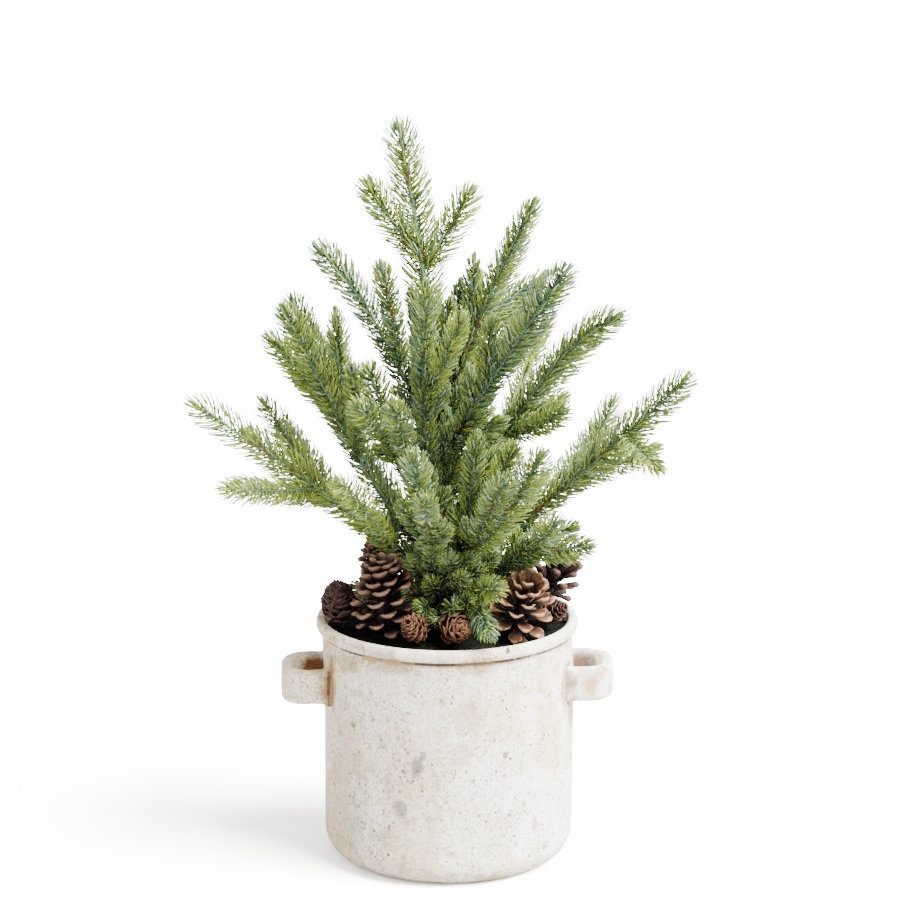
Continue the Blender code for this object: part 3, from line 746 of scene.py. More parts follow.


# Stains on the crock, and painted shade in the back of the loop hollows: colour, centre and half size in
# millimetres, strength, raggedness
STAINS = (
    ("grey", (-21.2, -85, 87), (5.5, 12, 9), 0.85, 0.55),
    ("grey", (-16.5, -86, 97), (3, 12, 4), 0.7, 0.6),
    ("grey", (-32.2, -81.5, 57.6), (6.5, 12, 8), 0.72, 0.45),
    ("tan", (-81, -35, 130), (9.5, 8, 26), 0.75, 0.8),
    ("rust", (-81.5, -34, 128), (5.5, 5, 17), 0.72, 0.75),
    ("pit", (-82, -33, 129), (1.6, 2.4, 15), 0.8, 0.8),
    # Painted shade: these umber and grey stains darken the back of the loop hollows, where shade falls, and leave
    # the strap tops light
    ("umber", (-94, 15, 127.5), (18, 9, 13.5), 1, 0.25),
    ("grey", (96, 15, 130), (18, 9, 14), 0.92, 0.2),
    ("umber", (92, 15, 128), (13, 9, 10), 0.75, 0.5),
    ("tan", (101, 2, 144), (20, 24, 5), 0.6, 0.9),
    ("rust", (-79.5, -38, 146), (6, 8, 9), 0.5, 0.7),
    ("tan", (-70, -53, 152), (16, 18, 8), 0.6, 0.8),
    ("ochre", (99.3, -27, 128.6), (6.5, 8, 8), 0.8, 0.7),
    ("ochre", (107, -27, 137.5), (7, 8, 4.5), 0.7, 0.8),
    ("tan", (82, -29, 129), (8, 14, 22), 0.85, 0.8),
    ("umber", (83, -28, 129), (3.5, 6, 19), 0.5, 1.1),
    ("ochre", (-37, -79, 160.6), (9, 9, 2), 0.9, 0.7),
    ("ochre", (-53, -71, 160.6), (7.5, 9, 2), 0.9, 0.7),
    ("tan", (-40, -78, 160), (26, 14, 9), 0.55, 0.9),
    ("tan", (18, -85, 160), (16, 10, 8), 0.5, 0.9),
    ("tan", (14, -86.5, 124), (15, 14, 14), 0.42, 0.9),
    ("tan", (8, -87, 98), (9, 14, 10), 0.34, 0.9),
    ("tan", (-71, -51, 60), (24, 24, 60), 0.3, 0.9),
    ("rust", (60, -64, 40), (2.4, 6, 7), 0.5, 0.8),
    ("grey", (39.4, -78.3, 94.6), (2.4, 6, 3), 0.95, 0.5),
    ("pit", (41, -81.8, 170), (2, 3, 3), 0.9, 0.5),
    ("tan", (60, 62, 90), (22, 22, 30), 0.4, 0.8),
    ("grey", (-30, 82, 70), (8, 12, 11), 0.7, 0.55),
    ("grey", (-18, 85.5, 92), (4, 8, 6), 0.7, 0.6),
    ("rust", (86, 20, 128), (5.5, 6, 15), 0.7, 0.5),
)
# Small bare spots on the wall, this far from the crock's middle: place across, up, and half width
SPOT_REACH = 86.5
BARE_SPOTS = (
    (-28.5, 100.1, 1.3), (-26.8, 97.6, 1.5), (-18, 93.9, 1.7), (-32.4, 91.7, 1.3),
    (-29.3, 83.6, 1.9), (-31.9, 79.3, 1.5), (-24.5, 76.6, 1.2), (-32.4, 69.1, 1.4),
    (-34.9, 85.7, 1.1), (-45, 104.1, 1.2), (-64.4, 109.3, 2.2), (37.6, 133.7, 1.3),
    (31.9, 106.3, 1.2), (65.8, 37.3, 1.3), (66.8, 20.2, 1.9),
)
# Places where small bare spots gather: centre and half size in millimetres
SPOT_GATHERINGS = (((-24, -84, 88), (15, 20, 26)), ((40, -78, 80), (30, 30, 50)), ((-25, 84, 84), (18, 20, 26)))


# Speckles: scale, share of the cells, size, strength and colour
SPECKLES = (
    (1000.0, 0.34, 0.36, 0.50, "pit"), (520.0, 0.19, 0.28, 0.80, "pit"), (300.0, 0.17, 0.22, 0.92, "pit"),
    (230.0, 0.14, 0.26, 0.60, "grey"), (120.0, 0.10, 0.17, 0.70, "grey"),
)


def scaled(values):
    return tuple(value * MM for value in values)


@made_once("materials", "Aged Stoneware")
def stone_finish(name):
    """Aged whitewashed stoneware: warm ground, cool wash, pits, grey wear and rust, with painted light on the right
    side and painted shade along the crease and in the loop hollows.
    """
    tones = settings("crock")
    material, w, shader = new_material(name, 0.2)
    place = w.place()
    axis = w.split(place)

    ground = w.group(mottle_group(), Place=place, Light=tones.whitewash, Dark=tones.cream, Scale=14.0,
                     Contrast=0.12)
    streak = w.noise(w.stretch(place, (110.0, 110.0, 8.0)), 1.0, 4.0, 0.6)
    colour = w.blend(w.step(streak, 0.48, 0.72, 0.0, 0.22), ground["Color"], tones.tan)
    blotch = w.noise(place, 70.0, 8.0, 0.72)
    colour = w.blend(w.step(blotch, 0.50, 0.68, 0.0, 0.62), colour, tones.tan)
    grain = w.noise(place, 520.0, 5.0, 0.75)
    colour = w.blend(w.step(grain, 0.45, 0.64, 0.0, 0.72), colour, tones.tan)
    # Painted light: random whitewash patches grow towards the right, the side the key lamp lights
    pale = w.math("MULTIPLY_ADD", axis["X"], 1.2, w.noise(place, 40.0, 6.0, 0.7, 0.5))
    colour = w.blend(w.step(pale, 0.53, 0.64, 0.0, 0.72), colour, tones.whitewash)
    height = w.plus(w.times(blotch, 0.5), w.times(grain, 0.55))

    near = 0.0
    for centre, size in SPOT_GATHERINGS:
        close = w.group(stain_group(), Place=place, Centre=scaled(centre), Size=scaled(size), Ragged=0.5,
                        Grain=60.0)
        near = w.math("MAXIMUM", near, close["Mask"])
    thick = w.math("MULTIPLY_ADD", near, 0.55, w.step(w.noise(place, 22.0, 3.0), 0.34, 0.62))
    for scale, share, size, strength, tone in SPECKLES:
        spots = w.group(speckle_group(), Place=place, Scale=scale, Share=w.times(thick, share), Size=size,
                        Edge=0.12)["Mask"]
        colour = w.blend(w.times(spots, strength), colour, getattr(tones, tone))
        height = w.minus(height, w.times(spots, 0.8))

    depth = w.math("ABSOLUTE", w.minus(axis["Z"], POT_HEIGHT - CREASE_DEPTH - CREASE_STAIN_AND_SHADE))
    broken = w.step(w.noise(place, 26.0, 4.0, 0.7), 0.42, 0.60)
    colour = w.blend(w.times(w.step(depth, 0.3 * MM, 3.6 * MM, 0.80, 0.0), broken), colour, tones.rust)
    fine = w.step(w.noise(place, 640.0, 2.0), 0.50, 0.58)
    fine = w.times(fine, w.step(w.noise(place, 34.0, 3.0), 0.42, 0.60))
    fine = w.times(fine, w.step(depth, 1.0 * MM, 20 * MM, 0.75, 0.0))
    colour = w.blend(fine, colour, tones.tan)
    height = w.minus(height, w.times(fine, 0.6))
    # Painted shade: a broken dark line of the pit colour along the crease under the lip
    uneven = w.step(w.noise(place, 60.0, 3.0, 0.7), 0.34, 0.48)
    colour = w.blend(w.times(w.step(depth, 0.8 * MM, 1.4 * MM, 0.85, 0.0), uneven), colour, tones.pit)
    worn = w.step(w.noise(place, 35.0, 5.0, 0.7), 0.35, 0.65)
    colour = w.blend(w.times(w.step(axis["Z"], 1 * MM, 14 * MM, 0.62, 0.0), worn), colour, tones.tan)

    spots = [("grey", (x, -sqrt(SPOT_REACH ** 2 - x * x), z), (half, 6, 1.15 * half), 0.85, 0.40)
             for x, z, half in BARE_SPOTS]
    for tone, centre, size, strength, ragged in (*STAINS, *spots):
        mask = w.group(stain_group(), Place=place, Centre=scaled(centre), Size=scaled(size), Ragged=ragged * 0.55,
                       Grain=150.0)["Mask"]
        colour = w.blend(w.times(mask, strength), colour, getattr(tones, tone))
        height = w.minus(height, w.times(mask, 0.15))
    w.feed(shader.inputs["Base Color"], colour)
    w.feed(shader.inputs["Roughness"], w.step(blotch, 0.3, 0.7, 0.72, 0.92))
    add_bump(w, shader, height, 1.0, 1.4 * MM)
    return material


@made_once("materials", "Dark Moss")
def moss_finish(name):
    tones = settings("moss")
    material, w, shader = new_material(name, 0.1)
    place = w.place()
    patches = w.group(mottle_group(), Place=place, Light=tones.colour, Dark=tones.shade, Scale=140.0, Contrast=0.16)
    w.feed(shader.inputs["Base Color"], patches["Color"])
    shader.inputs["Roughness"].default_value = 0.95
    add_bump(w, shader, w.noise(place, 900.0, 4.0), 0.6, 0.6 * MM)
    return material


def needle_finish(tone):
    """Plain needle colour with a slight unevenness of shade and gloss."""
    colour = tuple(getattr(settings("needle"), tone))
    material, w, shader = new_material("Needle " + tone.title(), 0.22)
    patches = w.group(mottle_group(), Place=w.place(), Light=colour, Dark=tuple(c * 0.72 for c in colour),
                      Scale=320.0, Contrast=0.25)
    w.feed(shader.inputs["Base Color"], patches["Color"])
    w.feed(shader.inputs["Roughness"], w.step(patches["Mask"], 0.0, 1.0, 0.54, 0.42))
    return material


@made_once("materials", "Wrapped Bark")
def bark_finish(name):
    """Brown paper wrapping with dark folds and rough fibres, green where the leader begins."""
    tones = settings("bark")
    material, w, shader = new_material(name, 0.15)
    place = w.place()
    patches = w.group(mottle_group(), Place=w.stretch(place, (1.0, 1.0, 0.45)), Light=tones.bark, Dark=tones.shade,
                      Scale=260.0, Contrast=0.15)
    red = w.step(w.noise(place, 30.0, 2.0), 0.50, 0.60)
    green_from = w.step(w.split(place)["Z"], LEADER_START * MM, (LEADER_START + 28) * MM, 0.0, 0.85)
    colour = w.blend(green_from, patches["Color"], w.blend(red, tones.stem, tones.red_stem))
    w.feed(shader.inputs["Base Color"], colour)
    shader.inputs["Roughness"].default_value = 0.9
    fibres = w.noise(w.stretch(place, (1.0, 1.0, 0.2)), 900.0, 5.0, 0.7)
    add_bump(w, shader, w.plus(fibres, patches["Mask"]), 0.6, 0.5 * MM)
    return material


@made_once("materials", "Moulded Stem")
def stem_finish(name):
    """Moulded stem, dark blue-green with red-brown stretches and a pale bloom."""
    tones = settings("bark")
    material, w, shader = new_material(name, 0.25)
    place = w.place()
    red = w.step(w.noise(place, 24.0, 2.0), 0.56, 0.62)
    fine = w.group(mottle_group(), Place=place, Light=(1.0, 1.0, 1.0), Dark=(0.55, 0.55, 0.55), Scale=420.0,
                   Contrast=0.2)
    colour = w.blend(red, tones.stem, tones.red_stem)
    w.feed(shader.inputs["Base Color"], w.blend(1.0, colour, fine["Color"], "MULTIPLY"))
    w.feed(shader.inputs["Roughness"], w.step(fine["Mask"], 0.0, 1.0, 0.75, 0.55))
    add_bump(w, shader, fine["Mask"], 0.4, 0.3 * MM)
    return material


def cone_finish(name, inner, body, rim, body_from, rim_from, streak):
    """Woody scale: near black at its root as painted shade deep between the scales, brown on its back, pale at its
    rim.
    """
    if name in bpy.data.materials:
        return bpy.data.materials[name]
    material, w, shader = new_material(name, 0.2)
    uv = w.add("ShaderNodeUVMap", uv_map="along").outputs["UV"]
    axis = w.split(uv)
    across = w.math("ABSOLUTE", w.math("MULTIPLY_ADD", axis["X"], 2.0, -1.0))
    drift = w.minus(w.noise(w.place(), 380.0, 4.0, 0.65), 0.5)
    along = w.math("MULTIPLY_ADD", drift, 0.16, axis["Y"])
    side = w.times(w.step(across, 0.78, 1.0), w.step(along, body_from + 0.2, body_from + 0.4))
    edge = w.math("MAXIMUM", w.step(along, rim_from, 1.0), side)
    # Painted shade: the root colour darkens each scale where it lies deep between the others
    colour = w.blend(w.step(along, body_from, body_from + 0.30), inner, body)
    colour = w.blend(w.times(edge, 0.9), colour, rim)
    lines = w.noise(w.stretch(uv, (14.0, 2.0, 1.0)), 1.0, 3.0, 0.7)
    colour = w.blend(w.step(lines, 0.45, 0.7, 0.0, streak), colour, inner)
    w.feed(shader.inputs["Base Color"], colour)
    w.feed(shader.inputs["Roughness"], w.step(lines, 0.3, 0.7, 0.62, 0.82))
    add_bump(w, shader, w.plus(lines, drift), 0.5, 0.4 * MM)
    return material


def floor_finish():
    """Pale floor that the camera sees brighter than the crock does."""
    material = bpy.data.materials.new("Pale Floor")
    material.use_nodes = True
    w = Wiring(material.node_tree)
    material.node_tree.nodes.remove(material.node_tree.nodes["Principled BSDF"])
    seen = w.add("ShaderNodeLightPath").outputs["Is Camera Ray"]
    gain = settings("stage").floor_gain
    matt = w.add("ShaderNodeBsdfDiffuse", {"Color": w.blend(seen, (0.46, 0.45, 0.43), (gain, gain, gain))})
    w.feed(material.node_tree.nodes["Material Output"].inputs["Surface"], matt.outputs["BSDF"])
    return material


# ---- crock, handles and moss

# Radius and height of the hollow underside in millimetres
UNDERSIDE = ((62, 0), (60, 0.8), (40, 1.0), (20, 1.0))
INNER_CORNER = 12 * MM
# Rows of points on the inner side of the lip
LIP_ROWS = 12


def crock_profile(p):
    """Radius and height down the outside, round the base and up the inside, from the lip's top."""
    lip_middle = vec(0.5 * (RIM_RADIUS + p.mouth_radius), POT_HEIGHT - LIP_HALF)
    lip_half = vec(0.5 * (RIM_RADIUS - p.mouth_radius), LIP_HALF)
    rows = []
    for c, s in arc(90, -52, 26):
        power = 0.72 if s > 0 else 0.85
        rows.append(lip_middle + lip_half * rounded(c, s, power, power))
    crease = POT_HEIGHT - CREASE_DEPTH
    for inset, rise in ((0.3, 0.9), (0.9, 0.0), (0.5, -0.9)):
        rows.append(vec(p.wall_radius - inset * MM, crease + rise * MM))
    for z in np.linspace(crease - 2.2 * MM, p.base_corner, 108):
        rows.append(vec(p.wall_radius, z))
    for c, s in arc(0, 90, 15)[1:]:
        rows.append(vec(p.wall_radius - p.base_corner * (1 - c), p.base_corner * (1 - s)))
    rows.extend(vec(radius, rise) * MM for radius, rise in UNDERSIDE)

    inside = [vec(20 * MM, p.floor_height), vec(50 * MM, p.floor_height)]
    for c, s in arc(90, 0, 9):
        inside.append(vec(p.bore_radius - INNER_CORNER * (1 - c), p.floor_height + INNER_CORNER * (1 - s)))
    for z in np.linspace(40 * MM, POT_HEIGHT - 16 * MM, 12):
        inside.append(vec(p.bore_radius, z))
    inside.append(vec(p.mouth_radius - 0.6 * MM, POT_HEIGHT - 7.6 * MM))
    for c, s in arc(188, 97, LIP_ROWS):
        inside.append(lip_middle + lip_half * rounded(c, s, 0.82, 0.82))
    return rows, inside


def hand_formed(point, amount):
    """Small wandering of a hand-formed surface, outward or inward."""
    slow = wander(point, 16.0) + 0.5 * wander(point, 45.0, 3.0)
    fine = 0.16 * wander(point, 140.0, 5.0)
    dent = max(0.0, wander(point, 60.0, 9.0) - 0.42) * 1.4
    return amount * (slow + fine - dent) * 0.7


class PINE_OT_pot(bpy.types.Operator):
    """Make the aged stoneware crock with its rolled lip, worn wall and hollow inside"""
    bl_idname = "pine.pot"
    bl_label = "Crock"

    def execute(self, context):
        p = context.scene.pine_crock
        outside, inside = crock_profile(p)
        rows = outside + inside
        angles = circle(p.sides)
        points = []
        hidden = range(len(outside) - len(UNDERSIDE), len(rows) - LIP_ROWS - 1)
        for index, (radius, height) in enumerate(rows):
            for a in angles:
                at = vec(radius * cos(a), radius * sin(a), height)
                if index not in hidden:
                    off = hand_formed(at, p.unevenness) * min(1.0, height / (8 * MM))
                    high = height + (0.6 * off if height > POT_HEIGHT - 16 * MM else 0.0)
                    at = vec((radius + off) * cos(a), (radius + off) * sin(a), high)
                if index < len(outside):
                    at[0] += p.settle * min(1.0, max(0.0, (POT_HEIGHT - 12 * MM - height) / (30 * MM)))
                points.append(at.tolist())
        sides = p.sides
        faces = []
        for i in range(len(rows)):
            if i == len(outside) - 1:
                continue
            low, high = i * sides, ((i + 1) % len(rows)) * sides
            for k in range(sides):
                n = (k + 1) % sides
                faces.append((low + k, high + k, high + n, low + n))
        for row, turned in ((len(outside) - 1, False), (len(outside), True)):
            middle = len(points)
            points.append((0.0, 0.0, rows[row][1]))
            start = row * sides
            for k in range(sides):
                corners = (start + k, middle, start + (k + 1) % sides)
                faces.append(corners[::-1] if turned else corners)
        mesh = bpy.data.meshes.new("crock")
        mesh.from_pydata(points, [], faces)
        finish_piece(link_mesh("crock", outward(mesh), stone_finish()), "stone", "pot")
        return {"FINISHED"}


def rounded_section(half_thick, half_deep, rounding):
    """Closed row of points of a rectangle with rounded corners, slightly full in its flats."""
    corners = []
    for sx, sz, first in ((1, 1, 0), (-1, 1, 90), (-1, -1, 180), (1, -1, 270)):
        for c, s in arc(first, first + 90, 6):
            corners.append((sx * (half_thick - rounding) + rounding * c,
                            sz * (half_deep - rounding) + rounding * s))
    row = []
    for i, here in enumerate(corners):
        row.append(here)
        if i % 6 == 5:
            ahead = corners[(i + 1) % len(corners)]
            parts = 1 if i in (5, 17) else 6
            for k in range(1, parts + 1):
                t = k / (parts + 1)
                row.append((here[0] + (ahead[0] - here[0]) * t, here[1] + (ahead[1] - here[1]) * t))
    return row


def loop_rows(h, wall_radius, azimuth):
    """Rows of points of one strap loop, in the frame, from wall to wall."""
    half = 0.5 * (h.width - h.strap)
    outer = wall_radius + h.reach - 0.5 * h.strap
    root = sqrt(wall_radius ** 2 - half ** 2) - 4.5 * MM
    path = [(x, -half) for x in np.linspace(root, outer - h.bend, 11)]
    for c, s in arc(0, 90, 13)[1:]:
        path.append((outer - h.bend + h.bend * s, -half + h.bend * (1 - c)))
    path.extend((outer, y) for y in np.linspace(-half + h.bend, half - h.bend, 7)[1:])
    path.extend((x, -y) for x, y in path[-8::-1])
    path = np.array(path)
    slope = np.gradient(path, axis=0)
    slope /= np.linalg.norm(slope, axis=1)[:, None]
    turn_to = np.array(((cos(azimuth), -sin(azimuth)), (sin(azimuth), cos(azimuth))))
    rows = []
    for (x, y), (dx, dy) in zip(path, slope):
        off_wall = hypot(x, y) - wall_radius
        swell = 1.9 * MM * max(0.0, 1 - max(0.0, off_wall) / (5 * MM)) ** 2.0
        section = rounded_section(0.5 * h.strap + swell, 0.5 * h.depth + swell, h.rounding + 0.5 * swell)
        row = []
        for across, up in section:
            flat = turn_to @ vec(x + dy * across, y - dx * across)
            at = vec(flat[0], flat[1], h.height + up + (h.right_rise if flat[0] > 0 else 0.0))
            away = unit(vec(*(turn_to @ vec(dy * across, -dx * across)), up))
            row.append(at + away * 0.55 * MM * (wander(at, 55.0, 2.0) + 0.4 * wander(at, 150.0, 4.0)))
        rows.append(row)
    return rows


class PINE_OT_handles(bpy.types.Operator):
    """Make the two strap loops of the crock, flared where they join the wall"""
    bl_idname = "pine.handles"
    bl_label = "Handles"

    def execute(self, context):
        h = context.scene.pine_handles
        for node in ("handle_left", "handle_right"):
            low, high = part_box(node)
            azimuth = math.atan2(0.5 * (low.y + high.y), 0.5 * (low.x + high.x))
            skin = Skin()
            skin.add_rows(loop_rows(h, context.scene.pine_crock.wall_radius, azimuth))
            finish_skin(skin, "loop_" + node, stone_finish, "stone", node)
        return {"FINISHED"}


def moss_height(x, y, p):
    reach = hypot(x, y) / settings("crock").mouth_radius
    lumps = wander((x, y, 0), 42.0) + 0.6 * wander((x, y, 0), 95.0, 4.0) + 0.35 * wander((x, y, 0), 210.0, 6.0)
    return p.crown + (p.edge - p.crown) * reach ** 1.8 + p.lump * lumps


def leaf_shape(bend):
    """Moss leaf: a short, pointed, hollow blade of unit length along +Z that curls towards +X."""
    points = []
    for t, half in ((0.0, 0.30), (0.4, 0.5), (0.75, 0.34)):
        x = bend * t * t
        points.extend(((x - 0.12, -half, t), (x + 0.18, 0.0, t), (x - 0.12, half, t)))
    points.append((bend, 0.0, 1.0))
    return closed_spike(points, 3)


def closed_spike(points, sides):
    """Mesh of stacked rings that ends in one point; the first ring is closed."""
    faces = [tuple(reversed(range(sides)))]
    rings = (len(points) - 1) // sides
    for i in range(rings - 1):
        for k in range(sides):
            n = (k + 1) % sides
            faces.append((i * sides + k, i * sides + n, (i + 1) * sides + n, (i + 1) * sides + k))
    last = (rings - 1) * sides
    for k in range(sides):
        faces.append((last + k, last + (k + 1) % sides, len(points) - 1))
    mesh = bpy.data.meshes.new("spike")
    mesh.from_pydata(points, [], faces)
    return outward(mesh)


class PINE_OT_moss(bpy.types.Operator):
    """Make the lumpy moss bed and the small dark leaves strewn over it"""
    bl_idname = "pine.moss"
    bl_label = "Moss"

    def execute(self, context):
        p = context.scene.pine_moss
        edge = context.scene.pine_crock.mouth_radius - 0.1 * MM
        rows = [[vec(radius * cos(a), radius * sin(a), 150 * MM) for a in circle(160)]
                for radius in (0.5 * MM, edge - 6 * MM)]
        for radius in np.linspace(edge, 0.6 * MM, 56):
            row = []
            for a in circle(160):
                x, y = radius * cos(a), radius * sin(a)
                row.append(vec(x, y, min(moss_height(x, y, p), p.crown + 1.5 * MM)))
            rows.append(row)
        skin = Skin()
        skin.add_rows(rows)
        finish_skin(skin, "moss_ground", moss_finish, "moss", "moss_bed")

        rng = np.random.default_rng(11)
        seats = []
        for _ in range(p.tufts):
            reach = (edge - 0.8 * MM) * sqrt(rng.random())
            a = rng.random() * 2 * pi
            x, y = reach * cos(a), reach * sin(a)
            if wander((x, y, 0), 42.0) + 0.7 * rng.random() < -0.15:
                continue
            lean = unit(UP + 0.9 * vec(*rng.normal(0, 1, 2), 0))
            seats.append((vec(x, y, moss_height(x, y, p) - 0.3 * MM), lean, vec(*rng.normal(0, 1, 2), 0.1),
                          vec(0.9 * MM, 0.8 * MM, p.tuft * rng.uniform(0.55, 1.0))))
        mesh = set_on_seats("moss_leaves", seats, leaf_shape(0.9), moss_finish(), seed=3)
        finish_piece(link_mesh("moss_leaves", mesh), "moss", "moss_bed")
        return {"FINISHED"}


# ---- cones

def scale_shape(outline, thick, curl, cup, ridge):
    """Cone scale of unit length along +Z, back towards +X: outline gives half width at each step.

    curl bends the end back towards +X, cup lifts the sides, ridge raises the middle of the lip.
    """
    columns = 7
    count = len(outline)
    points, faces, uv = [], [], []

    def on_rim(i, k):
        return i in (0, count - 1) or k in (0, columns - 1)

    def surface(i, k, face):
        t = SCALE_STEPS[i]
        s = 2 * k / (columns - 1) - 1
        half = outline[i]
        body = 0.0 if on_rim(i, k) else thick[i] * (1 - s * s) ** 0.5
        raised = ridge * exp(-((t - 0.90) / 0.10) ** 2) * (1 - abs(s)) if face > 0 and not on_rim(i, k) else 0.0
        round_end = 0.06 * (1 - s * s) * (1 if i == count - 1 else 0)
        x = curl * max(0.0, t - 0.35) ** 2 - cup * s * s * t + face * body * 0.5 + raised
        return (x, s * half, t + round_end - 0.05 * s * s * t)

    index = {}
    for face in (1, -1):
        for i in range(count):
            for k in range(columns):
                key = (i, k, 1 if on_rim(i, k) else face)
                if key not in index:
                    index[key] = len(points)
                    points.append(surface(i, k, face))
                    uv.append((k / (columns - 1), SCALE_STEPS[i]))
        for i in range(count - 1):
            for k in range(columns - 1):
                quad = [index[(a, b, 1 if on_rim(a, b) else face)]
                        for a, b in ((i, k), (i, k + 1), (i + 1, k + 1), (i + 1, k))]
                faces.append(quad if face > 0 else quad[::-1])
    mesh = bpy.data.meshes.new("scale")
    mesh.from_pydata(points, [], faces)
    layer = mesh.uv_layers.new(name="along")
    for loop in mesh.loops:
        layer.data[loop.index].uv = uv[loop.vertex_index]
    return mesh


# Scale outlines: half widths from root to lip, thickness at the same steps along the scale
SCALE_STEPS = (0.0, 0.3, 0.55, 0.75, 0.87, 0.96, 1.0)
OUTLINES = {
    "pine": ((0.08, 0.13, 0.20, 0.29, 0.36, 0.35, 0.20), (0.0, 0.06, 0.07, 0.09, 0.14, 0.14, 0.0)),
    "plank": ((0.15, 0.18, 0.20, 0.23, 0.24, 0.20, 0.12), (0.0, 0.11, 0.13, 0.16, 0.20, 0.18, 0.0)),
    "shell": ((0.12, 0.20, 0.33, 0.45, 0.49, 0.44, 0.26), (0.0, 0.05, 0.06, 0.08, 0.11, 0.10, 0.0)),
    "round": ((0.22, 0.38, 0.54, 0.62, 0.62, 0.52, 0.28), (0.0, 0.04, 0.05, 0.06, 0.08, 0.07, 0.0)),
    "pointed": ((0.10, 0.17, 0.24, 0.24, 0.18, 0.09, 0.02), (0.0, 0.06, 0.07, 0.08, 0.09, 0.07, 0.0)),
}

# Kinds of cone: outline, number of scales, share of the axis they cover, angle from the axis in
# degrees at base and top, length of a scale as a share of the cone's radius at base and top, curl,
# cup and ridge of a scale, tilt of a scale in degrees, radius of the core as a share, where the cone
# is widest, and the finish.
Kind = namedtuple("Kind", "outline scales span angle reach width curl cup ridge tilt core widest finish")
CONE_KINDS = {
    "tall": Kind("pine", 54, (0.02, 0.97), (104, 32), (1.14, 0.92), 0.9, 0.02, 0.12, 0, 18,
                 0.22, 0.5, "dark"),
    "open": Kind("shell", 42, (0.02, 0.9), (120, 28), (1, 1), 0.6, 0.05, 0.14, 0, 8, 0.22,
                 0.36, "rosy"),
    "round": Kind("round", 46, (0, 1), (58, -34), (0.98, 0.56), 1.25, 0.02, 0.3, 0, 0,
                  0.58, 0.4, "maroon"),
    "larch": Kind("pointed", 66, (0.04, 0.96), (60, 4), (0.92, 0.62), 1.35, 0.16, 0.16,
                  0.02, 0, 0.4, 0.42, "tan"),
    "rosette": Kind("round", 36, (0.02, 1), (72, -24), (1.02, 0.56), 1.15, 0.06, 0.34, 0,
                    0, 0.44, 0.42, "orange"),
    "dusky": Kind("shell", 44, (0.04, 0.98), (84, 6), (0.94, 0.6), 1, 0.2, 0.18, 0, 0,
                  0.34, 0.42, "dusky"),
    "narrow": Kind("plank", 38, (0.02, 0.95), (94, 14), (1.12, 1.02), 0.84, 0.04, 0.06,
                   0.02, 10, 0.28, 0.4, "dusky"),
}
# Finishes: colour at the root, on the back and at the rim of a scale, the share of its length where
# the back's colour starts and where the rim starts, and the strength of its streaks; the root colour is
# painted shade deep between the scales and also draws the grain streaks
CONE_COLOURS = {
    "dark": ("Cone Dark Brown", (13, 9, 9), (79, 54, 40), (112, 85, 63), 0.64, 0.92, 0.35),
    "rosy": ("Cone Rosy Brown", (22, 13, 11), (96, 64, 42), (152, 118, 88), 0.44, 0.88, 0.30),
    "maroon": ("Cone Maroon", (16, 8, 7), (25, 14, 11), (82, 52, 41), 0.15, 0.92, 0.30),
    "tan": ("Cone Tan", (28, 15, 9), (78, 49, 33), (120, 85, 60), 0.20, 0.82, 0.30),
    "orange": ("Cone Orange Tan", (26, 13, 8), (80, 45, 28), (128, 90, 64), 0.30, 0.90, 0.30),
    "dusky": ("Cone Dusky Brown", (14, 9, 8), (42, 26, 22), (88, 60, 48), 0.25, 0.86, 0.40),
}
CONES = {
    "cone_round": ("round", (-75, -22, 188.5), (-0.05, -0.64, 0.77), 40, 15.8),
    "cone_tall": ("tall", (-43.5, -41, 196), (0.05, -0.05, 1), 49, 20),
    "cone_behind": ("tall", (-49, 10, 194), (-0.06, 0.05, 1), 50, 11.5),
    "cone_small_left": ("larch", (-22, -65, 181), (-0.3, -0.75, 0.5), 28, 12),
    "cone_small_right": ("rosette", (6.5, -65, 181.5), (0.50, -0.84, 0.12), 28, 12.6),
    "cone_open": ("open", (51, -46, 190), (0.22, -0.34, 0.9), 42, 20.5),
    "cone_edge": ("narrow", (73, -2, 197), (0.50, -0.05, 0.85), 40, 18),
    "cone_shadow": ("dusky", (73, -22, 180), (0.5, -0.5, 0.3), 26, 10),
    "cone_back_left": ("tall", (-46, 52, 191), (-0.2, 0.3, 1), 44, 16),
    "cone_back": ("round", (2, 66, 184), (0.2, 0.8, 0.6), 36, 13.5),
    "cone_back_right": ("open", (50, 50, 190), (0.3, 0.3, 1), 42, 16),
}


def cone_girth(t, widest):
    """Radius of a cone along its axis as a share of the greatest, t from base to top."""
    if t < widest:
        return 1 - 0.50 * ((widest - t) / widest) ** 2
    return max(0.05, 1 - ((t - widest) / (1.04 - widest)) ** 2.1) ** 0.62


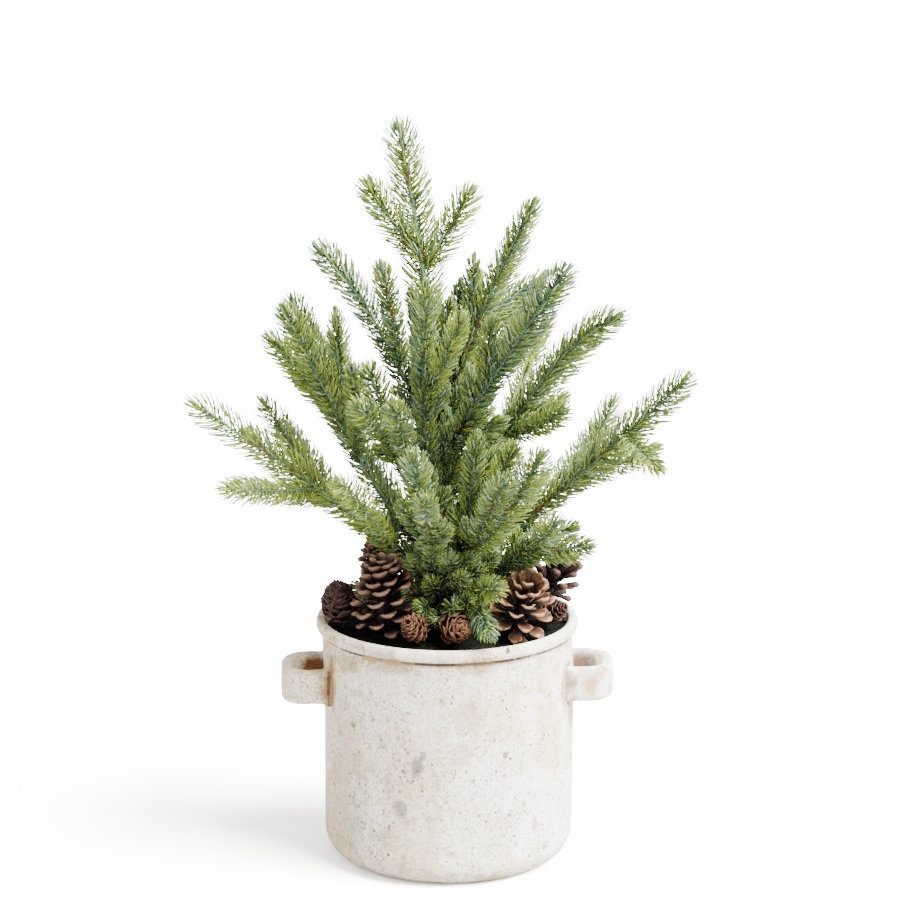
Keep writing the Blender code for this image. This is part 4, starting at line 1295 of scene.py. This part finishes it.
class PINE_OT_cones(bpy.types.Operator):
    """Make the cones at the foot, each a core with spirals of woody scales"""
    bl_idname = "pine.cones"
    bl_label = "Cones"

    def execute(self, context):
        rng = np.random.default_rng(23)
        for name, (kind, centre, axis, length, radius) in CONES.items():
            self.make_cone(name, CONE_KINDS[kind], vec(*centre) * MM, unit(vec(*axis)), length * MM,
                           radius * MM, rng)
        return {"FINISHED"}

    def make_cone(self, name, kind, centre, axis, length, radius, rng):
        across = unit(np.cross(axis, vec(0.31, 0.77, 0.19)))
        other = np.cross(axis, across)
        base = centre - axis * 0.5 * length
        title, inner, body, rim, body_from, rim_from, streak = CONE_COLOURS[kind.finish]
        finish = cone_finish(title, screen_colour(*inner), screen_colour(*body), screen_colour(*rim), body_from,
                             rim_from, streak)
        rows = []
        for t in np.linspace(0, 1, 14):
            girth = kind.core * radius * cone_girth(t, kind.widest)
            rows.append([base + axis * length * (0.04 + 0.9 * t) + girth * (around(across, other, a))
                         for a in circle(16)])
        skin = Skin()
        skin.add_rows(rows)
        core = skin.mesh(name + "_core")
        flat_uv = core.uv_layers.new(name="along")
        for loop in core.loops:
            flat_uv.data[loop.index].uv = (0.5, 0.1)

        outline, thick = OUTLINES[kind.outline]
        shape = scale_shape(outline, thick, kind.curl, kind.cup, kind.ridge)
        seats = []
        first, last = kind.span
        for k in range(kind.scales):
            t = (k + 0.5) / kind.scales
            along = first + (last - first) * t
            a = k * GOLDEN_ANGLE + rng.normal(0, 0.05)
            out = around(across, other, a)
            girth = cone_girth(along, kind.widest)
            lean = radians(kind.angle[0] + (kind.angle[1] - kind.angle[0]) * t ** 0.75 + rng.normal(0, 3))
            heading = around(axis, out, lean)
            back = unit(out * cos(lean) - axis * sin(lean))
            tilt = radians(kind.tilt)
            back = around(back, np.cross(heading, back), tilt)
            size = radius * (kind.reach[0] + (kind.reach[1] - kind.reach[0]) * t) * (0.42 + 0.58 * girth)
            size *= rng.uniform(0.92, 1.06)
            root = base + axis * length * (0.05 + 0.86 * along) + out * kind.core * radius * girth * 0.7
            seats.append((root, heading, back, vec(size, size * kind.width, size)))
        scales = set_on_seats(name + "_scales", seats, shape, finish, turn=0.12, size_spread=0.06, seed=len(name))
        joined = bmesh.new()
        joined.from_mesh(core)
        joined.from_mesh(scales)
        mesh = bpy.data.meshes.new("woody_" + name)
        joined.to_mesh(mesh)
        joined.free()
        finish_piece(link_mesh("woody_" + name, mesh, finish), "cone", name)


# ---- bark and stems

def bark_rows(points, heads, radii, sides, wrap, ridge, seed=0.0, lobes=None):
    """Rows of a wrapped limb: overlapping turns of paper, lumps and, near the foot, root lobes."""
    rows = []
    walked = 0.0
    for i, (at, head, radius) in enumerate(zip(points, heads, radii)):
        if i:
            walked += float(np.linalg.norm(at - points[i - 1]))
        a_dir = unit(np.cross(head, vec(0.0, 1.0, 0.0)))
        b_dir = np.cross(head, a_dir)
        row = []
        for k in range(sides):
            a = 2 * pi * k / sides
            out = around(a_dir, b_dir, a)
            surface = at + out * radius
            turn = (walked + 0.8 * MM * wander(surface, 120.0, seed)) / wrap - a / (2 * pi)
            saw = turn - math.floor(turn)
            relief = ridge * (saw ** 1.6 - 0.4) + 0.7 * ridge * wander(surface, 170.0, seed + 3)
            relief += 0.5 * ridge * wander(surface * vec(1, 1, 0.5), 420.0, seed + 8)
            if lobes is not None:
                relief += lobes(at, a)
            row.append(at + out * radius * (1 + relief))
        rows.append(row)
    return rows


# How far the bark of a bough runs on under its needles, as a share, and its wrapping
BARK_OVERLAP = 0.10
BOUGH_WRAP = 4.0 * MM
BOUGH_RIDGE = 0.16


class PINE_OT_bark(bpy.types.Operator):
    """Make the wrapped trunk with its flared foot and the bare roots of the boughs"""
    bl_idname = "pine.bark"
    bl_label = "Trunk And Boughs"

    def execute(self, context):
        p = context.scene.pine_bark
        foot, top = TRUNK_HEIGHTS[0], TRUNK_HEIGHTS[-1]
        heights = np.linspace(foot - 4, top - 1, 330)
        points = np.array([trunk_point(h) for h in heights])
        points[:, 2] = heights * MM
        slope = np.gradient(points, axis=0)
        heads = slope / np.linalg.norm(slope, axis=1)[:, None]
        radii = [trunk_radius(max(h, foot), p) for h in heights]

        def lobes(at, a):
            return 0.16 * exp(-(at[2] / MM - foot) / 8.0) * cos(FLARE_LOBES * a + 0.6)

        skin = Skin()
        skin.add_rows(bark_rows(points, heads, radii, 28, p.wrap, p.ridge, 0.0, lobes))
        finish_skin(skin, "wrapped_trunk", bark_finish, "bark", "trunk")

        skin = Skin()
        for index, (name, spec) in enumerate(BOUGHS.items()):
            run = Run(bough_curve(spec), 0.0, spec.bare + BARK_OVERLAP, 1.1 * MM)
            radii = p.bough_root + (p.bough_end - p.bough_root) * run.at / run.length
            skin.add_rows(bark_rows(run.points, run.heads, radii, 14, BOUGH_WRAP, BOUGH_RIDGE, float(index)))
        finish_skin(skin, "bare_boughs", bark_finish, "bark", *("bough_" + name for name in BOUGHS))
        return {"FINISHED"}


# Seeded rule for the sprigs round the trunk and the short twigs that fill the inner crown, in
# millimetres and degrees
CORE_HEIGHTS = (200, 362)
CORE_STEP = 9.5
CORE_REACH = (20, 29)
CORE_RISE = (38, 54)
BARE_FRONT = (200, 247)
TWIG_SEED = 5
TWIG_GAP = (20, 32)
TWIG_LENGTH = (18, 30)
TWIG_ANGLE = (30, 48)
INNER_REACH = 55
DARK_REACH = 38
# Places, across and up, where the background shows through, with their radius
TWIG_GAP_PLACES = ((-36.0, 283.0, 18.0),)
TWIG_CEILING = 350
STEM_STEP = 2.0 * MM


# Further sprigs round the trunk and low at its foot: height on the trunk, tip and tint
INNER_SPRIGS = (
    (225, (10, -25, 258), "dark"), (255, (10, -20, 298), "dark"), (290, (37, 12, 352), "dark"),
    (300, (47, 14, 378), "dark"), (226, (6, 20, 277), "mixed"), (214, (15, 24, 262), "mixed"),
)
FOOT_SPRIGS = (
    (186, (-16, -45, 234), "mixed"), (184, (-24, -42, 220), "blue"), (182, (-12, -50, 210), "mixed"),
    (188, (3, -58, 228), "frosted"), (184, (11, -62, 217), "mixed"), (187, (21, -56, 221), "blue"),
    (190, (31, -48, 227), "blue"), (180, (16, -66, 200), "mixed"), (180, (5, -66, 196), "blue"),
    (184, (-27, -42, 200), "blue"), (180, (-19, -55, 193), "mixed"), (190, (-31, -30, 214), "mixed"),
    (178, (-8, -60, 186), "blue"), (186, (-21, -30, 226), "dark"), (184, (-30, 8, 207), "dark"),
    (183, (-62, 4, 190), "dark"), (186, (26, 6, 214), "dark"), (188, (-22, 16, 224), "mixed"),
    (190, (32, -8, 228), "dark"), (180, (40, -24, 204), "blue"),
)


def core_sprigs(rng):
    """Sprigs rising round the trunk, turned by the golden angle from one to the next."""
    sprigs = []
    for k, height in enumerate(np.arange(*CORE_HEIGHTS, CORE_STEP)):
        turn = k * GOLDEN_ANGLE + 0.7
        out = vec(cos(turn), sin(turn), 0)
        if BARE_FRONT[0] <= height <= BARE_FRONT[1] and out[1] < -0.4:
            continue
        start = trunk_point(height)
        reach = rng.uniform(*CORE_REACH) * (0.55 if out[0] < -0.35 and out[1] < 0.6 else 1.0)
        tip = start + (out * reach + UP * rng.uniform(*CORE_RISE)) * MM
        tint = "mixed" if k % 3 else "dark"
        sprigs.append(("core", 1, tint, Run(sprig_curve(start, tip, UP), 0.1, 1.0, STEM_STEP)))
    for name, table in (("core", INNER_SPRIGS), ("foot", FOOT_SPRIGS)):
        for height, tip, tint in table:
            curve = sprig_curve(trunk_point(height), vec(*tip) * MM, UP)
            sprigs.append((name, 1, tint, Run(curve, 0.14, 1.0, STEM_STEP)))
    return sprigs


def short_twigs(runs, rng):
    """Short twigs grown from the inner stretches of boughs and side sprigs."""
    twigs = []
    for name, rank, tint, run in runs:
        if name in ("leader", "trunk", "core", "foot", "front_foot"):
            continue
        walked = rng.uniform(3, 12) * MM
        while walked < 0.6 * run.length:
            at, head, top, side = run.place(walked)
            reach = hypot(at[0], at[1])
            if reach < INNER_REACH * MM and at[2] < TWIG_CEILING * MM:
                turn = rng.uniform(0.9, 2.2) * rng.choice((-1, 1))
                out = around(top, side, turn)
                lean = radians(rng.uniform(*TWIG_ANGLE))
                heading = around(head, out, lean)
                length = rng.uniform(*TWIG_LENGTH) * MM
                tip = at + unit(heading + vec(0, 0, 0.25)) * length
                # Twigs near the trunk take the dark tint: partly painted shade deep in the crown, partly the inner
                # needles' darker colour
                shade = "dark" if reach < DARK_REACH * MM else tint
                if not any(hypot(tip[0] - x * MM, tip[2] - z * MM) < r * MM for x, z, r in TWIG_GAP_PLACES):
                    twigs.append((name, 2, shade, Run(sprig_curve(at, tip, head), 0.0, 1.0, STEM_STEP)))
            walked += rng.uniform(*TWIG_GAP) * MM
    return twigs


def all_runs():
    rng = np.random.default_rng(TWIG_SEED)
    runs = covered_runs(STEM_STEP) + core_sprigs(rng)
    return runs + short_twigs(runs, rng)


class PINE_OT_stems(bpy.types.Operator):
    """Make the moulded stems that carry the needles"""
    bl_idname = "pine.stems"
    bl_label = "Stems"

    def execute(self, context):
        p = context.scene.pine_bark
        skin = Skin()
        for name, rank, tint, run in all_runs():
            if name in ("leader", "trunk") and rank == 0:
                continue
            root = (p.bough_end, 1.0 * MM, 0.8 * MM)[rank]
            radii = root + (p.stem_tip - root) * run.at / run.length
            rows = []
            for at, top, side, radius in zip(run.points, run.tops, run.sides, radii):
                rows.append([at + radius * (1 + 0.12 * wander(at, 300.0, k)) * around(top, side, k)
                             for k in circle(8)])
            skin.add_rows(rows)
        finish_skin(skin, "moulded_stems", stem_finish, "bark")
        return {"FINISHED"}


# ---- needles

def needle_shape(p):
    """One needle of unit length along +Z, curving forward towards +X, thickest below its middle."""
    bend = p.curve * p.length / p.thickness
    points = []
    for t, half in ((0.0, 0.38), (0.45, 0.5), (0.88, 0.36)):
        x = bend * t * t
        points.extend(((x - 0.30, -half, t), (x + 0.5, 0.0, t), (x - 0.30, half, t)))
    points.append((bend, 0.0, 1.0))
    return closed_spike(points, 3)


# Needle length of a bough or leader, a side sprig and a short twig, as a share of the full length
RANK_LENGTHS = (1.04, 0.92, 0.84)
TUFT_NEEDLES = (11, 11, 7)
TUFT_LENGTHS = (0.46, 0.66)
TIP_FADE = 7 * MM
ROOT_FADE = 9 * MM
LENGTH_SPREAD = (0.88, 1.04)
INNER_CROWN = 60 * MM
SHORT_WITHIN = 45 * MM
FULL_BEYOND = 100 * MM


def needle_seats(p):
    """Seats of all needles, sorted by tone."""
    rng = np.random.default_rng(p.seed)
    seats = {tone: [] for tone in TONES}
    lift = np.array(UPPER_SIDE)
    for name, rank, tint, run in all_runs():
        shares = np.array(TINTS[tint])
        count = int(run.length / p.spacing * NEEDLE_CROWDING.get(name, 1.0))
        start_turn = rng.random() * 2 * pi
        lengths = RANK_LENGTHS[rank] * NEEDLE_LENGTHS.get(name, 1.0)
        for k in range(count):
            gone = (k + rng.uniform(0.3, 0.7)) / count * run.length
            at, head, top, side = run.place(gone)
            even = start_turn + k * GOLDEN_ANGLE + rng.normal(0, 0.12)
            a = even + 0.15 * sin(even) + 0.34 * sin(2 * even)
            near_tip = exp(-(run.length - gone) / TIP_FADE)
            lean = p.lean + (p.tip_lean + 0.25 - p.lean) * near_tip + rng.normal(0, 0.06)
            reach = hypot(at[0], at[1])
            inner = max(0.0, 1 - reach / INNER_CROWN)
            if rng.random() < INNER_THINNING * inner:
                continue
            outer = 1.0 if name == "leader" else np.interp(reach, (SHORT_WITHIN, FULL_BEYOND), (0, 1))
            full = lengths * (0.74 + 0.26 * outer) * (1 - 0.42 * near_tip)
            full *= 0.78 + 0.22 * min(1.0, gone / ROOT_FADE)
            tone = pick_tone(rng, shares + inner * np.array(INNER_SHARES), lift, cos(a))
            size = vec(p.thickness, p.width, p.length * full * rng.uniform(*LENGTH_SPREAD))
            seats[tone].append((at, around(head, around(top, side, a), lean), head, size))
        at, head, top, side = run.place(run.length - 1.5 * MM)
        for k in range(TUFT_NEEDLES[rank]):
            a = k * GOLDEN_ANGLE + rng.normal(0, 0.2)
            out = around(top, side, a)
            heading = around(head, out, radians(6 + 30 * sqrt((k + 0.5) / TUFT_NEEDLES[0])))
            root = at - head * rng.uniform(0.2, 2.0) * MM
            size = vec(p.thickness, p.width * 0.95, p.length * lengths * rng.uniform(*TUFT_LENGTHS))
            seats[pick_tone(rng, shares, lift, cos(a))].append((root, heading, -out, size))
    return seats


def pick_tone(rng, shares, lift, upward):
    """Draw a tone; the sprayed upper side takes more of the blue ones and of the pale tone, which is partly painted
    highlight.
    """
    weights = np.clip(shares, 0.01, None) * np.clip(1 + lift * upward, 0.03, None)
    return TONES[int(np.searchsorted(np.cumsum(weights / weights.sum()), rng.random() * 0.9999))]


class PINE_OT_needles(bpy.types.Operator):
    """Make the needles of all sprigs, joined by colour"""
    bl_idname = "pine.needles"
    bl_label = "Needles"

    def execute(self, context):
        p = context.scene.pine_needle
        masses = ["mass_leader"] + ["mass_" + name for name in BOUGHS]
        shape = needle_shape(p)
        for index, (tone, seats) in enumerate(needle_seats(p).items()):
            mesh = set_on_seats("needles_" + tone, seats, shape, needle_finish(tone), turn=p.turn, size_spread=0.05,
                                seed=p.seed + index)
            finish_piece(link_mesh("needles_" + tone, mesh), "needle", *masses)
        return {"FINISHED"}


# ---- stage

# Where a light shines to, its share of the key's strength, and its spread in degrees
LIGHTS = (("Key", (-0.590, 0.205, -0.781), 1.0, 46.0), ("Fill", (0.75, 0.45, -0.45), 0.015, 70.0))


class PINE_OT_stage(bpy.types.Operator):
    """Make the pale floor, the soft lights and the camera"""
    bl_idname = "pine.stage"
    bl_label = "Stage"

    def execute(self, context):
        s = context.scene.pine_stage
        floor = bmesh.new()
        bmesh.ops.create_circle(floor, cap_ends=True, segments=96, radius=s.floor_radius)
        mesh = bpy.data.meshes.new("floor")
        floor.to_mesh(mesh)
        floor.free()
        link_mesh("floor", mesh, floor_finish(), smooth=False)

        world = bpy.data.worlds.new("Pale Studio")
        world.use_nodes = True
        background = world.node_tree.nodes["Background"]
        background.inputs["Color"].default_value = (1.0, 1.0, 1.0, 1.0)
        background.inputs["Strength"].default_value = s.sky_strength
        context.scene.world = world

        for name, aim, share, spread in LIGHTS:
            lamp = bpy.data.lights.new(name, "SUN")
            lamp.energy = share * s.sun_strength
            lamp.angle = radians(spread)
            holder = bpy.data.objects.new(name, lamp)
            holder.rotation_euler = Vector(aim).to_track_quat("-Z", "Y").to_euler()
            context.scene.collection.objects.link(holder)

        camera = bpy.data.cameras.new("Camera")
        camera.lens = s.focal_length
        camera.sensor_width = 36.0
        holder = bpy.data.objects.new("Camera", camera)
        holder.location = (0.0, -s.camera_distance, s.camera_height)
        holder.rotation_euler = (0.5 * pi - s.camera_pitch, 0.0, -s.camera_turn)
        context.scene.collection.objects.link(holder)
        context.scene.camera = holder
        return {"FINISHED"}


# ---- panel and registration

OPERATORS = (PINE_OT_pot, PINE_OT_handles, PINE_OT_moss, PINE_OT_cones, PINE_OT_bark, PINE_OT_stems,
             PINE_OT_needles, PINE_OT_stage)
GROUPS = (("crock", CrockSettings), ("handles", HandleSettings), ("moss", MossSettings),
          ("needle", NeedleSettings), ("bark", BarkSettings), ("stage", StageSettings))


class PINE_PT_panel(bpy.types.Panel):
    """Lists the pieces of the potted pine tree with their settings"""
    bl_label = "Potted Pine Tree"
    bl_space_type = "VIEW_3D"
    bl_region_type = "UI"
    bl_category = "Pine Tree"

    def draw(self, context):
        for operator in OPERATORS:
            self.layout.operator(operator.bl_idname)
        for key, group in GROUPS:
            box = self.layout.box()
            box.label(text=key.title())
            for field in group.__annotations__:
                box.prop(getattr(context.scene, "pine_" + key), field)


def register():
    for key, group in GROUPS:
        bpy.utils.register_class(group)
        setattr(bpy.types.Scene, "pine_" + key, PointerProperty(type=group))
    for operator in OPERATORS:
        bpy.utils.register_class(operator)
    bpy.utils.register_class(PINE_PT_panel)


def unregister():
    bpy.utils.unregister_class(PINE_PT_panel)
    for operator in reversed(OPERATORS):
        bpy.utils.unregister_class(operator)
    for key, group in reversed(GROUPS):
        delattr(bpy.types.Scene, "pine_" + key)
        bpy.utils.unregister_class(group)


def main():
    register()
    for operator in OPERATORS:
        getattr(bpy.ops.pine, operator.bl_idname.split(".")[1])()
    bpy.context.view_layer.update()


if __name__ == "__main__":
    main()
